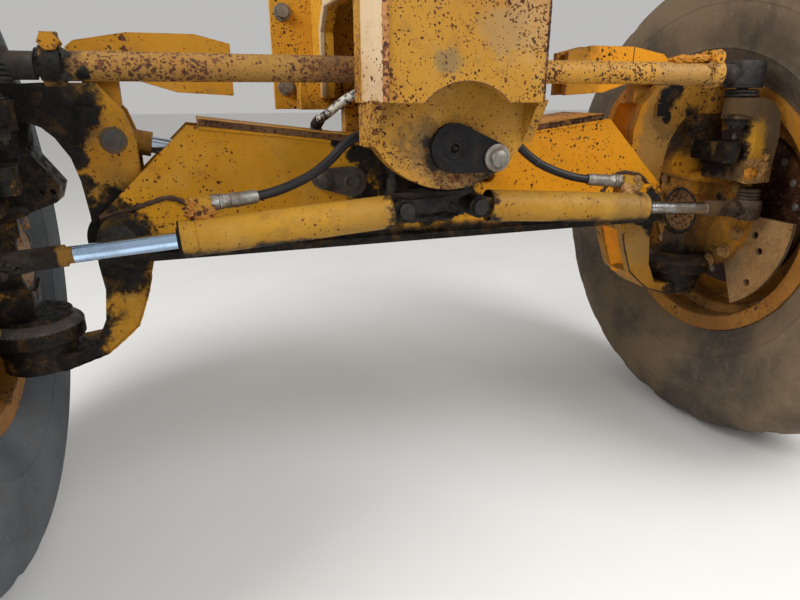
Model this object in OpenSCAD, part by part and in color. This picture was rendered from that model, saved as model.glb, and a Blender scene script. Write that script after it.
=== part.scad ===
// Front axle of a motor grader: a box beam that rocks on the frame nose, two yokes that lean
// the wheels, two spindles that steer them, and the cylinders, bars and hoses between them.
// Drawn from a point of the centre plane well under the beam: X to the side, Y to the rear, Z up.
// Everything is then moved so that the origin lies on the nose's rear face.
// Pieces that come in pairs are drawn on the +X side and mirrored for the left.

/* [Wheels] */
// Height of the wheel centres above that point
wheel_z = 660; // [655:1:665]
// Centre plane to the middle of a tyre
wheel_x = 980; // [976:1:990]
// Outer radius of the tyre
tyre_r = 630; // [620:1:640]
// Width of the tyre
tyre_w = 332; // [326:2:340]
// Radius of the rim's flanges
rim_flange_r = 337; // [332:1:342]
// Width between the rim's flanges
rim_w = 240; // [234:2:246]
// Thickness of the rim's steel
rim_t = 9; // [7:0.5:11]
// Radius of the hub's barrel
hub_r = 98; // [92:1:104]
// Radius of the hub's flange
hub_flange_r = 215; // [208:1:222]
// Thickness of the hub's flange and of the wheel disc
disc_t = 16; // [12:1:20]
// Radius of the bearing seat on the spindle
stub_r = 38; // [34:1:42]

/* [Kingpins and spindles] */
// Centre plane to a kingpin
king_x = 785; // [782:1:788]
// Radius of a kingpin
king_r = 28; // [25:1:32]
// Radius of the spindle's lower boss
boss_low_r = 70; // [66:1:74]
// Radius of the spindle's upper boss
boss_top_r = 58; // [54:1:62]
// Radius of the spindle's round body along the wheel's axis
body_r = 62; // [58:1:66]

/* [Yokes] */
// Centre plane to a lean pin
lean_x = 600; // [597:1:603]
// Height of the lean pins
lean_z = 700; // [697:1:703]
// Radius of a lean pin
lean_r = 30; // [26:1:33]
// Width of a yoke from front to rear
yoke_w = 110; // [106:1:114]
// Thickness of the yoke's front and rear flanges
yoke_flange = 22; // [18:1:24]
// Top of the yoke's lower arm under the kingpin
arm_low_z = 478; // [475:1:481]
// Underside of the yoke's upper arm
arm_top_z = 912; // [909:1:915]
// Bottom of the yoke's lower arm
arm_low_z0 = 442; // [438:1:446]
// Top of the yoke's upper arm
arm_top_z1 = 972; // [968:1:973]
// Lower end of the upper kingpin
king_top_z0 = 836; // [830:1:842]
// Upper end of the lower kingpin
king_low_z1 = 548; // [540:1:550]
// Radius of the yoke's bosses round the kingpins
arm_boss_r = 60; // [56:1:64]

/* [Beam] */
// Thickness of the beam's front and rear plates
plate_t = 20; // [16:1:22]
// Running gap beside a moving piece
side_gap = 5; // [5:0.5:7]
// Half length of the beam at its lower edge
beam_end = 641; // [636:1:648]
// Half length of the beam's top edge
beam_top_end = 461; // [456:1:466]
// Underside of the beam
beam_z0 = 659; // [656:1:662]
// Top of the beam at its ends
beam_z1 = 904; // [901:1:907]
// Top of the beam at its middle
beam_mid_z1 = 858; // [855:1:861]
// Thickness of the beam's top and bottom flanges
flange_t = 14; // [12:1:16]

/* [Frame nose] */
// Height of the pivot pin
pivot_z = 864; // [862:1:866]
// Radius of the pivot pin
pivot_r = 40; // [36:1:44]
// Front face of the nose
nose_y0 = -300; // [-304:1:-296]
// Half width of the nose's front plate
nose_half = 149; // [146:1:152]
// Underside of the nose's front plate
nose_z0 = 944; // [941:1:947]
// Top of the nose
nose_z1 = 1300; // [1280:5:1330]
// Thickness of the nose's plates
nose_t = 20; // [16:1:22]
// Rear face of the nose, where the main frame joins
seat_y = 190; // [186:1:198]
// Half width of the nose's rear plate
rear_half = 262; // [258:1:268]
// Height of the mounting face's middle
seat_z = 1050; // [1046:1:1054]
// Depth of the pivot ears below the pivot pin
ear_r = 76; // [73:1:78]
// Radius of the ears' round bottom
ear_round = 175; // [170:1:180]
// Radius of a frame bolt's hole
bolt_r = 11; // [9:0.5:13]

/* [Lean linkage] */
// Height of the lean bar
bar_z = 1008; // [1005:1:1011]
// Radius of the lean bar's tube
bar_r = 22; // [20:1:24]
// Radius of the lean bar's pins
bar_pin_r = 14; // [12:1:15]
// Centre plane to the lean cylinder's base pin
lean_base_x = 154; // [150:1:158]
// Height of the lean cylinder's base pin
lean_base_z = 790; // [787:1:793]
// Centre plane to the lean cylinder's rod eye
lean_eye_x = 588; // [585:1:591]
// Height of the lean cylinder's rod eye
lean_eye_z = 879; // [877:1:881]
// Radius of the lean cylinder's barrel
lean_barrel_r = 35; // [33:0.5:36]
// Radius of the lean cylinder's rod
lean_rod_r = 16; // [14:0.5:18]
// Radius of the pins at the lean cylinder's ends
lean_pin_small_r = 18; // [16:0.5:20]

/* [Steering] */
// Centre plane to a tie rod ball joint
ball_x = 745; // [743:1:748]
// Ball joints ahead of the kingpins
ball_y = -165; // [-167:1:-163]
// Height of the tie rod
tie_z = 1000; // [998:1:1002]
// Radius of the tie rod's tube
tie_r = 22.5; // [20:0.5:24]
// Centre plane to a steering cylinder's rod eye
eye_x = 800; // [797:1:803]
// Height of a steering cylinder's rod eye
eye_z = 695; // [693:1:697]
// Steering cylinders ahead of the kingpins
cyl_y = -185; // [-187:1:-183]
// Centre plane to a steering cylinder's base pin
anchor_x = 78; // [76:1:80]
// Height of the steering cylinders' base pins
anchor_z = 745; // [743:1:747]
// Radius of a steering cylinder's barrel
barrel_r = 32; // [30:0.5:33]
// Radius of a steering cylinder's rod
rod_r = 14.5; // [13:0.5:17]
// Radius of a hose
hose_r = 9; // [8:0.5:10]

/* [Fits] */
// Radial clearance of a pin that turns in its bore
pin_fit = 0.05; // [0.02:0.01:0.09]
// Gap between a piece and the face it is seated on
seat_gap = 0.3; // [0.2:0.1:0.5]

/* [Hidden] */
$fn = 48;

yoke_half = yoke_w / 2;
plate_in = yoke_half + side_gap;
plate_out = plate_in + plate_t;

// Moves the drawing so that its origin lies on the mounting face.
module at_mount() translate([0, -seat_y, -seat_z]) children();

// Draws a right-hand piece, or its mirror image on the left (side -1).
module sided(side) at_mount() mirror([side < 0 ? 1 : 0, 0, 0]) children();

// Draws a piece on both sides.
module both_sides() for (side = [-1, 1]) mirror([side < 0 ? 1 : 0, 0, 0]) children();

// Round bars along Y, X and Z between two ends.
module bar_y(r, x, z, y0, y1) translate([x, y0, z]) rotate([-90, 0, 0]) cylinder(r = r, h = y1 - y0);
module bar_x(r, y, z, x0, x1) translate([x0, y, z]) rotate([0, 90, 0]) cylinder(r = r, h = x1 - x0);
module bar_z(r, x, y, z0, z1) translate([x, y, z0]) cylinder(r = r, h = z1 - z0);

// Plates whose outline is drawn in X and Z, and in Y and Z, between two faces.
module plate_y(y0, y1) translate([0, y1, 0]) rotate([90, 0, 0]) linear_extrude(y1 - y0) children();
module plate_x(x0, x1) translate([x0, 0, 0]) rotate([90, 0, 90]) linear_extrude(x1 - x0) children();

// A block between two corners.
module block(a, b) translate(a) cube(b - a);

// The outline of a link: two round ends joined by their common tangents.
module link_outline(p, rp, q, rq) {
  d = norm(q - p);
  along = atan2(q[1] - p[1], q[0] - p[0]);
  lean = asin((rp - rq) / d);
  function off(c, r, a) = c + r * [cos(a), sin(a)];
  translate(p) circle(rp);
  translate(q) circle(rq);
  polygon([off(p, rp, along + 90 - lean), off(p, rp, along - 90 + lean),
           off(q, rq, along - 90 + lean), off(q, rq, along + 90 - lean)]);
}

// FRAME NOSE: a box in front with the pivot ear as its rear wall, side walls that pass over
// the tie rod and the lean bar, and a crossmember and rear plate behind the beam.
side_x = nose_half + 23;
bevel_y = nose_y0 + 62;
arch_r = 109;
arch_depth = 36;
ear_y0 = nose_y0 + 65;
ear_y1 = ear_y0 + 40;
rear_ear_y0 = plate_out + 10;
rear_ear_y1 = rear_ear_y0 + 40;
cross_y = plate_out + 25;
cross_half = 215;
cross_z0 = 925;
window_z1 = 1122;
window_y1 = 45;
window_cut = 42;
sill_z = 950;
gusset_x = side_x - 6;
bolt_x = rear_half - 26;
bolt_dz = 77;

module ear_outline(half, top) {
  intersection() {
    translate([0, pivot_z - ear_r + ear_round]) circle(ear_round);
    translate([-half, pivot_z - ear_r - 1]) square([2 * half, top - pivot_z + ear_r + 1]);
  }
  translate([-half, pivot_z + 30]) square([2 * half, top - pivot_z - 30]);
}

module nose_side() {
  // bevelled corner strip from the front plate back to the bulkhead
  translate([0, 0, nose_z0]) linear_extrude(nose_z1 - nose_z0)
    polygon([[nose_half - nose_t, nose_y0], [nose_half, nose_y0], [side_x, bevel_y],
             [side_x, ear_y1], [side_x - nose_t, ear_y1], [side_x - nose_t, bevel_y]]);
  // gusset from the corner strip down to the pivot ear
  plate_x(gusset_x - nose_t, gusset_x)
    polygon([[nose_y0 + 14, nose_z0 + 4], [ear_y0 - 24, nose_z0 - 40], [ear_y0, pivot_z + 6],
             [ear_y1, pivot_z + 6], [ear_y1, nose_z0 + 4]]);
  // side wall with the window that the tie rod and the lean bar pass through
  plate_x(side_x - nose_t, side_x)
    polygon([[ear_y1 - 1, nose_z1], [ear_y1 - 1, window_z1], [window_y1 - window_cut, window_z1],
             [window_y1, window_z1 - window_cut], [window_y1, sill_z],
             [cross_y + 1, sill_z], [cross_y + 1, nose_z1]]);
}

module nose_box() color("goldenrod") at_mount() difference() {
  union() {
    plate_y(nose_y0, nose_y0 + nose_t) difference() {
      translate([-nose_half, nose_z0]) square([2 * nose_half, nose_z1 - nose_z0]);
      translate([0, nose_z0 + arch_depth - arch_r]) circle(arch_r);
    }
    both_sides() nose_side();
    plate_y(ear_y0, ear_y1) difference() {
      ear_outline(gusset_x, nose_z0 + 60);
      translate([0, pivot_z]) circle(pivot_r + pin_fit);
    }
    block([-side_x + 1, ear_y0 + 12, nose_z0 + 59], [side_x - 1, ear_y1, nose_z1]);
    block([-side_x + 1, nose_y0 + 1, nose_z1 - nose_t], [side_x - 1, cross_y + 1, nose_z1]);
    // crossmember, rear pivot ear and rear plate
    block([-cross_half, cross_y, cross_z0], [cross_half, seat_y - nose_t + 1, cross_z0 + 90]);
    block([-side_x, cross_y, cross_z0 + 89], [side_x, seat_y - nose_t + 1, nose_z1]);
    plate_y(rear_ear_y0, rear_ear_y1) ear_outline(ear_r + 44, cross_z0 + 40);
    block([-rear_half, seat_y - nose_t, cross_z0], [rear_half, seat_y, nose_z1]);
  }
  bar_y(pivot_r + pin_fit, 0, pivot_z, rear_ear_y0 - 1, rear_ear_y1 + 1);
  for (x = [-bolt_x, bolt_x], dz = [-bolt_dz, bolt_dz])
    bar_y(bolt_r, x, seat_z + dz, seat_y - nose_t - 1, seat_y + 1);
}

retain_bolt = [86, pivot_z - 19];

module pivot_pin() color("dimgray") at_mount() bar_y(pivot_r, 0, pivot_z, ear_y0, rear_ear_y1);

module pivot_retainer() color("darkslategray") at_mount() {
  plate_y(ear_y0 - 14, ear_y0) difference() {
    link_outline([0, pivot_z], 45, retain_bolt, 27);
    translate([0, pivot_z]) circle(8);
  }
  bar_y(17, retain_bolt[0], retain_bolt[1], ear_y0 - 24, ear_y0 - 13);
}

// BEAM: front and rear plates with flanges, the pivot boss in the middle and a pin at each end.
boss_r = ear_r - 8;
boss_y0 = ear_y1 + side_gap;
boss_y1 = rear_ear_y0 - side_gap;
flange_over = 10;
bottom_end = 505;
doubler_r = 52;
doubler_t = 8;
// the fitting on the pivot boss that the lean cylinder's hose ends on
hose_end = [-30, -62, 940];

module beam_outline() polygon([
  [-beam_end, beam_z0], [-beam_end + 13, beam_z0 + 88], [-beam_top_end, beam_z1],
  [-150, beam_mid_z1 + 8], [0, beam_mid_z1], [150, beam_mid_z1 + 8],
  [beam_top_end, beam_z1], [beam_end - 13, beam_z0 + 88], [beam_end, beam_z0]]);

module axle_beam() color("goldenrod") at_mount() difference() {
  union() {
    for (y = [-plate_out, plate_in]) plate_y(y, y + plate_t) beam_outline();
    bar_y(boss_r, 0, pivot_z, boss_y0, boss_y1);
    bar_z(11, hose_end[0], hose_end[1], pivot_z + boss_r - 14, hose_end[2]);
    block([-bottom_end, -plate_out - flange_over, beam_z0 - 1],
          [bottom_end, plate_out + flange_over, beam_z0 + flange_t]);
    both_sides() {
      // lips that carry the bottom flange on past the yoke
      for (y = [-plate_out - flange_over, plate_in])
        block([bottom_end - 1, y, beam_z0 - 1],
              [beam_end - 4, y + plate_t + flange_over, beam_z0 + flange_t]);
      // top flange, which rises towards the yoke
      plate_y(-plate_out - 2, plate_out + 2)
        polygon([[60, beam_mid_z1 + 3], [150, beam_mid_z1 + 8], [440, beam_z1 - 2],
                 [440, beam_z1 - 2 + flange_t], [150, beam_mid_z1 + 8 + flange_t],
                 [60, beam_mid_z1 + 3 + flange_t]]);
      // diaphragm beside the pivot boss
      block([boss_r + 12, -plate_in - 1, beam_z0 + 1], [boss_r + 24, plate_in + 1, beam_mid_z1 + 5]);
      // doublers round the lean pins
      bar_y(doubler_r, lean_x - 14, lean_z, -plate_out - doubler_t, -plate_out + 1);
      bar_y(doubler_r, lean_x - 14, lean_z, plate_out - 1, plate_out + doubler_t);
    }
  }
  bar_y(pivot_r + pin_fit, 0, pivot_z, boss_y0 - 1, boss_y1 + 1);
  both_sides() bar_y(lean_r + pin_fit, lean_x, lean_z, -plate_out - 20, plate_out + 20);
  both_sides() bar_y(lean_pin_small_r + pin_fit, lean_base_x, lean_base_z, -plate_out - 1, plate_out + 1);
  // slot in the top flange for the lean cylinder's hose
  block([-236, -14, beam_z1 - 60], [-172, 34, beam_z1 + 40]);
}

module lean_pin() color("dimgray")
  bar_y(lean_r, lean_x, lean_z, -plate_out - doubler_t, plate_out + doubler_t);

base_bolt = [-lean_base_x - 62, lean_base_z + 8];

module lean_base_pin() color("darkslategray") at_mount() {
  bar_y(lean_pin_small_r, -lean_base_x, lean_base_z, -plate_out, plate_out);
  plate_y(-plate_out - 10, -plate_out)
    link_outline([-lean_base_x, lean_base_z], 30, base_bolt, 19);
  bar_y(12, base_bolt[0], base_bolt[1], -plate_out - 19, -plate_out - 9);
}

// Black block between the steering cylinders, with a pin for each.
anchor_r = 14;
anchor_y0 = -plate_out - 55;
eye_half = 20;
stub_z = 800;

module cylinder_anchor() color("#26221e") at_mount() {
  block([-anchor_x - 14, anchor_y0, anchor_z - 23], [anchor_x + 14, -plate_out, anchor_z + 23]);
  both_sides() bar_y(anchor_r, anchor_x, anchor_z, cyl_y - eye_half - 8, anchor_y0 + 1);
  // hose stubs, rounded about the base pins so that the hoses' ends swing over them
  both_sides() intersection() {
    bar_z(11, anchor_x, anchor_y0 + 20, anchor_z + 22, stub_z + 1);
    bar_y(stub_z - anchor_z, anchor_x, anchor_z, anchor_y0 + 8, anchor_y0 + 32);
  }
}

// YOKE: a C with front and rear flanges and a web on its outer side.
function at_lean(dx, dz) = [lean_x + dx, lean_z + dz];

module yoke_outline() polygon([
  at_lean(4, 277), at_lean(-34, 230), at_lean(-50, 180), at_lean(-50, 100), at_lean(-58, 40),
  at_lean(-60, -20), at_lean(-44, -80), at_lean(-34, -114), at_lean(-8, -180), at_lean(55, -232),
  [king_x - 50, arm_low_z0], [king_x, arm_low_z0], [king_x, arm_low_z],
  [king_x - boss_low_r - 6, arm_low_z], at_lean(76, -218), at_lean(50, -165), at_lean(41, -100),
  at_lean(46, -50), at_lean(46, 45), at_lean(52, 108), at_lean(62, 150), at_lean(82, 185),
  at_lean(100, 203), [king_x - boss_top_r - 6, arm_top_z], [king_x, arm_top_z],
  [king_x, arm_top_z1], at_lean(90, 277)]);

module yoke_pockets() {
  polygon([at_lean(-100, 70), at_lean(16, 70), at_lean(22, 130), at_lean(32, 170),
           at_lean(48, 205), at_lean(4, 236), at_lean(-100, 236)]);
  polygon([at_lean(-100, -70), at_lean(8, -70), at_lean(12, -110), at_lean(28, -155),
           at_lean(-10, -200), at_lean(-100, -200)]);
}

module yoke() color("goldenrod") {
  difference() {
    union() {
      plate_y(-yoke_half, yoke_half) yoke_outline();
      bar_z(arm_boss_r, king_x, 0, arm_top_z, arm_top_z1);
      bar_z(arm_boss_r + 6, king_x, 0, arm_low_z0, arm_low_z);
      bar_y(58, lean_x, lean_z, -yoke_half, yoke_half);
    }
    difference() {
      plate_y(-yoke_half + yoke_flange, yoke_half - yoke_flange) yoke_pockets();
      bar_y(60, lean_x, lean_z, -yoke_half, yoke_half);
    }
    bar_y(62, lean_x, bar_z, -36, 36);
    bar_y(lean_r + pin_fit, lean_x, lean_z, -yoke_half - 1, yoke_half + 1);
    bar_z(king_r, king_x, 0, arm_top_z - 1, arm_top_z1 + 1);
    bar_z(king_r, king_x, 0, arm_low_z0 - 1, arm_low_z + 1);
  }
  difference() {
    union() {
      bar_y(34, lean_x, bar_z, -14, 14);
      block([lean_x - 30, -14, arm_top_z + 26], [lean_x + 30, 14, bar_z]);
    }
    bar_y(bar_pin_r, lean_x, bar_z, -15, 15);
  }
  // stop block on the front flange
  block([lean_x + 4, -yoke_half - 6, lean_z + 205], [lean_x + 42, -yoke_half + 1, lean_z + 238]);
}

module kingpins() color("dimgray") {
  bar_z(king_r, king_x, 0, king_top_z0, arm_top_z1 + 8);
  bar_z(king_r, king_x, 0, arm_low_z0 - 6, king_low_z1);
}

module bar_pin() color("dimgray") bar_y(bar_pin_r, lean_x, bar_z, -36, 36);

// LEAN BAR: a tube between two forks of plates.
fork_in = 16;
fork_out = 30;

module fork_outline() translate([lean_x, bar_z]) polygon([
  [-232, -53], [-130, -47], [-65, -27], [28, -27], [46, -16], [46, 28], [32, 39], [-55, 54],
  [-170, 54], [-232, 39]]);

module lean_bar() color("goldenrod") at_mount() {
  difference() {
    bar_x(bar_r, 0, bar_z - 3, -400, 400);
    bar_x(bar_r - 5, 0, bar_z - 3, -401, 401);
  }
  both_sides() {
    difference() {
      union() for (y = [-fork_out, fork_in]) plate_y(y, y + fork_out - fork_in) fork_outline();
      bar_y(bar_pin_r + pin_fit, lean_x, bar_z, -fork_out - 1, fork_out + 1);
    }
    block([lean_x - 160, -fork_in - 1, bar_z - 38], [lean_x - 100, fork_in + 1, bar_z + 44]);
    block([lean_x - 220, -fork_in - 1, bar_z + 12], [lean_x - 200, fork_in + 1, bar_z + 36]);
  }
}

// CYLINDERS, drawn from the base pin along X. A barrel is a tube with an eye at its base and
// a gland that the rod slides in; a rod carries its piston.
gland_t = 16;
wall_t = 6;

module barrel(r, rod, start, length, pin, half) difference() {
  union() {
    bar_y(r * 0.7, 0, 0, -half, half);
    block([0, -half, -r * 0.6], [start + 2, half, r * 0.6]);
    bar_x(r, 0, 0, start, length - gland_t);
    bar_x(r + 1.5, 0, 0, length - gland_t, length);
  }
  bar_y(pin + pin_fit, 0, 0, -half - 1, half + 1);
  bar_x(r - wall_t, 0, 0, start + 24, length - gland_t);
  bar_x(rod + pin_fit, 0, 0, length - gland_t - 1, length + 1);
}

module rod(r, bore, inner, outer) {
  bar_x(r, 0, 0, inner, outer);
  bar_x(bore - 0.5, 0, 0, inner, inner + 18);
}

// Places a cylinder's own X axis along the line from its base pin to its rod's eye.
module along(base, eye, y) translate([base[0], y, base[1]])
  rotate([0, -atan2(eye[1] - base[1], eye[0] - base[0]), 0]) children();

steer_base = [anchor_x, anchor_z];
steer_eye = [eye_x, eye_z];
steer_len = norm(steer_eye - steer_base);
steer_barrel_len = 414;
steer_slope = atan2(eye_z - anchor_z, eye_x - anchor_x);
port_x = 352;
port_z = barrel_r + 24;
port_stub_x = 318;
hose_y = cyl_y + 13;
// a point beside a steering cylinder: x along it from its base pin, z above its axis
function steer_point(x, z) = [
  anchor_x + x * cos(steer_slope) - z * sin(steer_slope), hose_y,
  anchor_z + x * sin(steer_slope) + z * cos(steer_slope)];
lean_base = [lean_base_x, lean_base_z];
lean_eye = [lean_eye_x, lean_eye_z];
lean_len = norm(lean_eye - lean_base);
lean_barrel_len = 320;
// the lean cylinder's port: a stub that points away from the base pin and ends round about it
port_turn = 50;
port_r = 91;
port_y = 10;
port_angle = port_turn + atan2(lean_eye_z - lean_base_z, lean_eye_x - lean_base_x);
function port_point(r) = [-lean_base_x - r * cos(port_angle), port_y, lean_base_z + r * sin(port_angle)];

module steer_barrel() color("goldenrod") along(steer_base, steer_eye, cyl_y) {
  barrel(barrel_r, rod_r, 26, steer_barrel_len, anchor_r, eye_half);
  // port block and hose end near the gland
  block([port_x, -4, barrel_r - 6], [port_x + 36, 30, port_z + 12]);
  bar_x(11, hose_y - cyl_y, port_z, port_stub_x, port_x + 1);
}

module steer_rod() color("silver") along(steer_base, steer_eye, cyl_y) {
  rod(rod_r, barrel_r - wall_t, steer_barrel_len - 196, steer_len - 60);
  bar_x(rod_r + 4, 0, 0, steer_len - 128, steer_len);
  bar_z(28, steer_len, 0, -21, 21);
}

module lean_barrel() color("goldenrod") at_mount() mirror([1, 0, 0]) along(lean_base, lean_eye, 0)
  {
    barrel(lean_barrel_r, lean_rod_r, 28, lean_barrel_len, lean_pin_small_r, 30);
    rotate([0, -port_turn, 0]) intersection() {
      bar_x(11, port_y, 0, 24, port_r + 1);
      bar_y(port_r, 0, 0, port_y - 12, port_y + 12);
    }
  }

module lean_rod() color("silver") at_mount() mirror([1, 0, 0]) along(lean_base, lean_eye, 0) {
  rod(lean_rod_r, lean_barrel_r - wall_t, lean_barrel_len - 120, lean_len - 20);
  difference() {
    union() {
      bar_x(23, 0, 0, lean_len - 62, lean_len);
      bar_y(29, lean_len, 0, -28, 28);
    }
    bar_y(lean_pin_small_r, lean_len, 0, -29, 29);
  }
}

// SPINDLE: two bosses on the kingpins, a bracket between them and a round body along the
// wheel's axis that ends in the bearing seat.
spin_top = arm_top_z - seat_gap;
spin_low = arm_low_z + seat_gap;
flange_x = 842;
body_x0 = king_x - 7;
// a round seal plate over the lower boss
seal_r = 88;
seal_z0 = 503;
seal_z1 = 530;
// two tapped holes in the bracket's corner
tap_x = [703, 720];
tap_z = 789;
hub_x0 = 870;
stub_x1 = 1036;
plate_r = 267;
flange_r = 158;
plate_holes = [[-171, -38], [-191, -75], [-173, -162]];

module spindle() color("goldenrod") difference() {
  union() {
    bar_z(boss_low_r, king_x, 0, spin_low, king_low_z1 + 5);
    bar_z(boss_top_r, king_x, 0, king_top_z0, spin_top);
    bar_z(seal_r, king_x, 0, seal_z0, seal_z1);
    plate_y(-40, 40) polygon([
      [king_x - 40, spin_low], [flange_x + 8, spin_low + 6], [flange_x + 16, wheel_z - 100],
      [flange_x + 16, wheel_z + 120], [flange_x - 2, arm_z1], [king_x + 45, spin_top - 12],
      [king_x - 30, spin_top - 12], [king_x - 95, wheel_z + 140], [king_x - 85, wheel_z + 110],
      [king_x - 15, wheel_z + 85], [king_x - 15, wheel_z - 100]]);
    bar_x(body_r, 0, wheel_z, body_x0, flange_x + 1);
    bar_x(flange_r, 0, wheel_z, flange_x, hub_x0 - side_gap);
    // flat plate in front of and below the hub, with three holes
    plate_x(hub_x0 - side_gap - 2, hub_x0 - side_gap + 8) translate([0, wheel_z]) difference() {
      intersection() {
        circle(plate_r);
        polygon([[0, 8], [-plate_r, 8], [-plate_r, -plate_r], [-150, -plate_r], [-90, -120], [-60, -60]]);
      }
      circle(hub_r + 8);
      for (hole = plate_holes) translate(hole) circle(9);
    }
    bar_x(stub_r, 0, wheel_z, flange_x, stub_x1);
  }
  // bares the round end of the body
  bar_x(body_r + 2, 0, wheel_z, king_x - 40, body_x0);
  bar_z(king_r + pin_fit, king_x, 0, spin_low - 1, king_low_z1 + 1);
  bar_z(king_r + pin_fit, king_x, 0, king_top_z0 - 1, spin_top + 1);
  for (x = tap_x) bar_y(5, x, tap_z, -41, 41);
}

// STEERING ARM: from the upper boss forward to the tie rod's ball, then down in a hook to the
// steering cylinder's rod eye.
arm_z0 = 805;
arm_z1 = 850;
ball_boss_r = 34;
ball_boss_z = 950;
foot_z = 760;
post_r = 12;

module hook_outline() polygon([
  [ball_x - 35, ball_boss_z - 34], [ball_x + 3, ball_boss_z - 42], [ball_x + 17, arm_z1 + 35],
  [ball_x + 22, arm_z1 + 12], [eye_x - 37, arm_z0 - 5], [eye_x - 34, foot_z], [eye_x + 32, foot_z],
  [eye_x + 30, arm_z0 - 5], [eye_x + 36, arm_z1 + 12], [eye_x + 28, ball_boss_z - 35],
  [eye_x + 5, ball_boss_z - 10], [ball_x + 25, ball_boss_z], [ball_x - 30, ball_boss_z]]);

module steering_arm() color("goldenrod") {
  difference() {
    union() {
      plate_y(cyl_y - 22, cyl_y + 18) hook_outline();
      bar_z(ball_boss_r, ball_x, ball_y, ball_boss_z - 46, ball_boss_z);
      bar_z(15, ball_x, ball_y, ball_boss_z - 68, ball_boss_z - 45);
      // the link back to the spindle, low enough to pass the yoke's inner corner
      translate([0, 0, arm_z0]) linear_extrude(arm_z1 - arm_z0)
        link_outline([ball_x, ball_y], 20, [king_x, 0], 30);
      translate([0, 0, arm_z0]) linear_extrude(arm_z1 - arm_z0)
        link_outline([eye_x, cyl_y + 2], 20, [king_x + 20, -70], 24);
      block([eye_x - 28, cyl_y - 10, foot_z], [eye_x + 30, -60, foot_z + 44]);
    }
    block([700, -40, 400], [900, 60, arm_z1 + 1]);
    bar_z(boss_top_r + seat_gap, king_x, 0, king_top_z0 - 1, arm_z1 + 1);
  }
  bar_z(post_r, ball_x, ball_y, ball_boss_z - 2, tie_z - 12);
}

module ball_left() color("silver") translate([ball_x, ball_y, tie_z]) sphere(20);

// TIE ROD: a tube with an adjustable ball joint at each end.
socket_r = 38;
socket_z0 = tie_z - 25;
socket_z1 = tie_z + 28;
tube_x = 664;
shank_r = 16;

module tie_rod_tube() color("goldenrod") at_mount() difference() {
  union() {
    bar_x(tie_r, ball_y, tie_z, -tube_x, tube_x);
    both_sides() bar_x(tie_r + 8, ball_y, tie_z, tube_x - 32, tube_x - 4);
    both_sides() block([tube_x - 30, ball_y - 12, tie_z + 20], [tube_x - 8, ball_y + 12, tie_z + 48]);
  }
  both_sides() bar_x(shank_r, ball_y, tie_z, tube_x - 100, tube_x + 1);
}

module socket() color("#2a2724") {
  bar_z(socket_r, ball_x, ball_y, socket_z0, socket_z1);
  bar_x(shank_r + 5, ball_y, tie_z, tube_x + 6, ball_x);
  bar_x(shank_r, ball_y, tie_z, tube_x - 90, ball_x);
}

module tie_rod_end_left() sided(-1) difference() {
  socket();
  translate([ball_x, ball_y, tie_z]) sphere(20 + seat_gap);
  translate([ball_x, ball_y, tie_z]) rotate([180, 0, 0]) cylinder(r1 = post_r - 1, r2 = 26, h = 26);
}

module tie_rod_end_right() sided(1) difference() {
  socket();
  bar_z(socket_r - 4, ball_x, ball_y, socket_z0 - 1, tie_z + 6);
}

module tie_boot_left() color("#1c1b1a") sided(-1) translate([ball_x, ball_y, ball_boss_z + seat_gap])
  difference() {
    cylinder(r1 = 26, r2 = 17, h = 13);
    translate([0, 0, -1]) cylinder(r = post_r + seat_gap, h = 15);
  }

// WHEELS, as revolved profiles about the wheel's axis.
module about_axle() translate([0, 0, wheel_z]) rotate([90, 0, 90]) rotate_extrude($fn = 96) children();

hub_flange_x = wheel_x - 20;
hub_cap_x = stub_x1 + 4;

module hub() color("#5a2a1c") about_axle() polygon([
  [stub_r + pin_fit, hub_x0], [hub_r - 8, hub_x0], [hub_r, hub_x0 + 8], [hub_r, hub_flange_x],
  [hub_flange_r, hub_flange_x], [hub_flange_r, hub_flange_x + disc_t],
  [hub_r - 6, hub_flange_x + disc_t], [hub_r - 18, hub_cap_x], [hub_r - 38, hub_cap_x + 22],
  [0, hub_cap_x + 22], [0, hub_cap_x], [stub_r + pin_fit, hub_cap_x]]);

disc_x = hub_flange_x + disc_t + seat_gap;
rim_x0 = wheel_x - rim_w / 2;
rim_x1 = wheel_x + rim_w / 2;
seat_r = rim_flange_r - 32;
drop_r = seat_r - 24;
dish_r = drop_r - rim_t - 18;

module rim() color("darkorange") {
  about_axle() polygon([
    [rim_flange_r, rim_x0], [rim_flange_r, rim_x0 + rim_t], [seat_r, rim_x0 + rim_t],
    [seat_r, rim_x0 + 70], [drop_r, rim_x0 + 84], [drop_r, rim_x1 - 60], [seat_r, rim_x1 - 50],
    [seat_r, rim_x1 - rim_t], [rim_flange_r, rim_x1 - rim_t], [rim_flange_r, rim_x1],
    [seat_r - rim_t, rim_x1 - 2], [seat_r - rim_t, rim_x1 - 46], [drop_r - rim_t, rim_x1 - 56],
    [drop_r - rim_t, rim_x0 + 80], [seat_r - rim_t, rim_x0 + 66], [seat_r - rim_t, rim_x0]]);
  about_axle() polygon([[hub_r + 4, disc_x], [hub_flange_r + 12, disc_x], [dish_r, disc_x + 26],
    [drop_r - rim_t + 1, disc_x + 26], [drop_r - rim_t + 1, disc_x + 26 + disc_t],
    [dish_r - 4, disc_x + 26 + disc_t], [hub_flange_r + 8, disc_x + disc_t], [hub_r + 4, disc_x + disc_t]]);
}

bead_r = seat_r + seat_gap;
bead_y = rim_w / 2 - rim_t - seat_gap;
bead_w = 34;
wall_side = 32;
wall_tread = 36;

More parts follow.
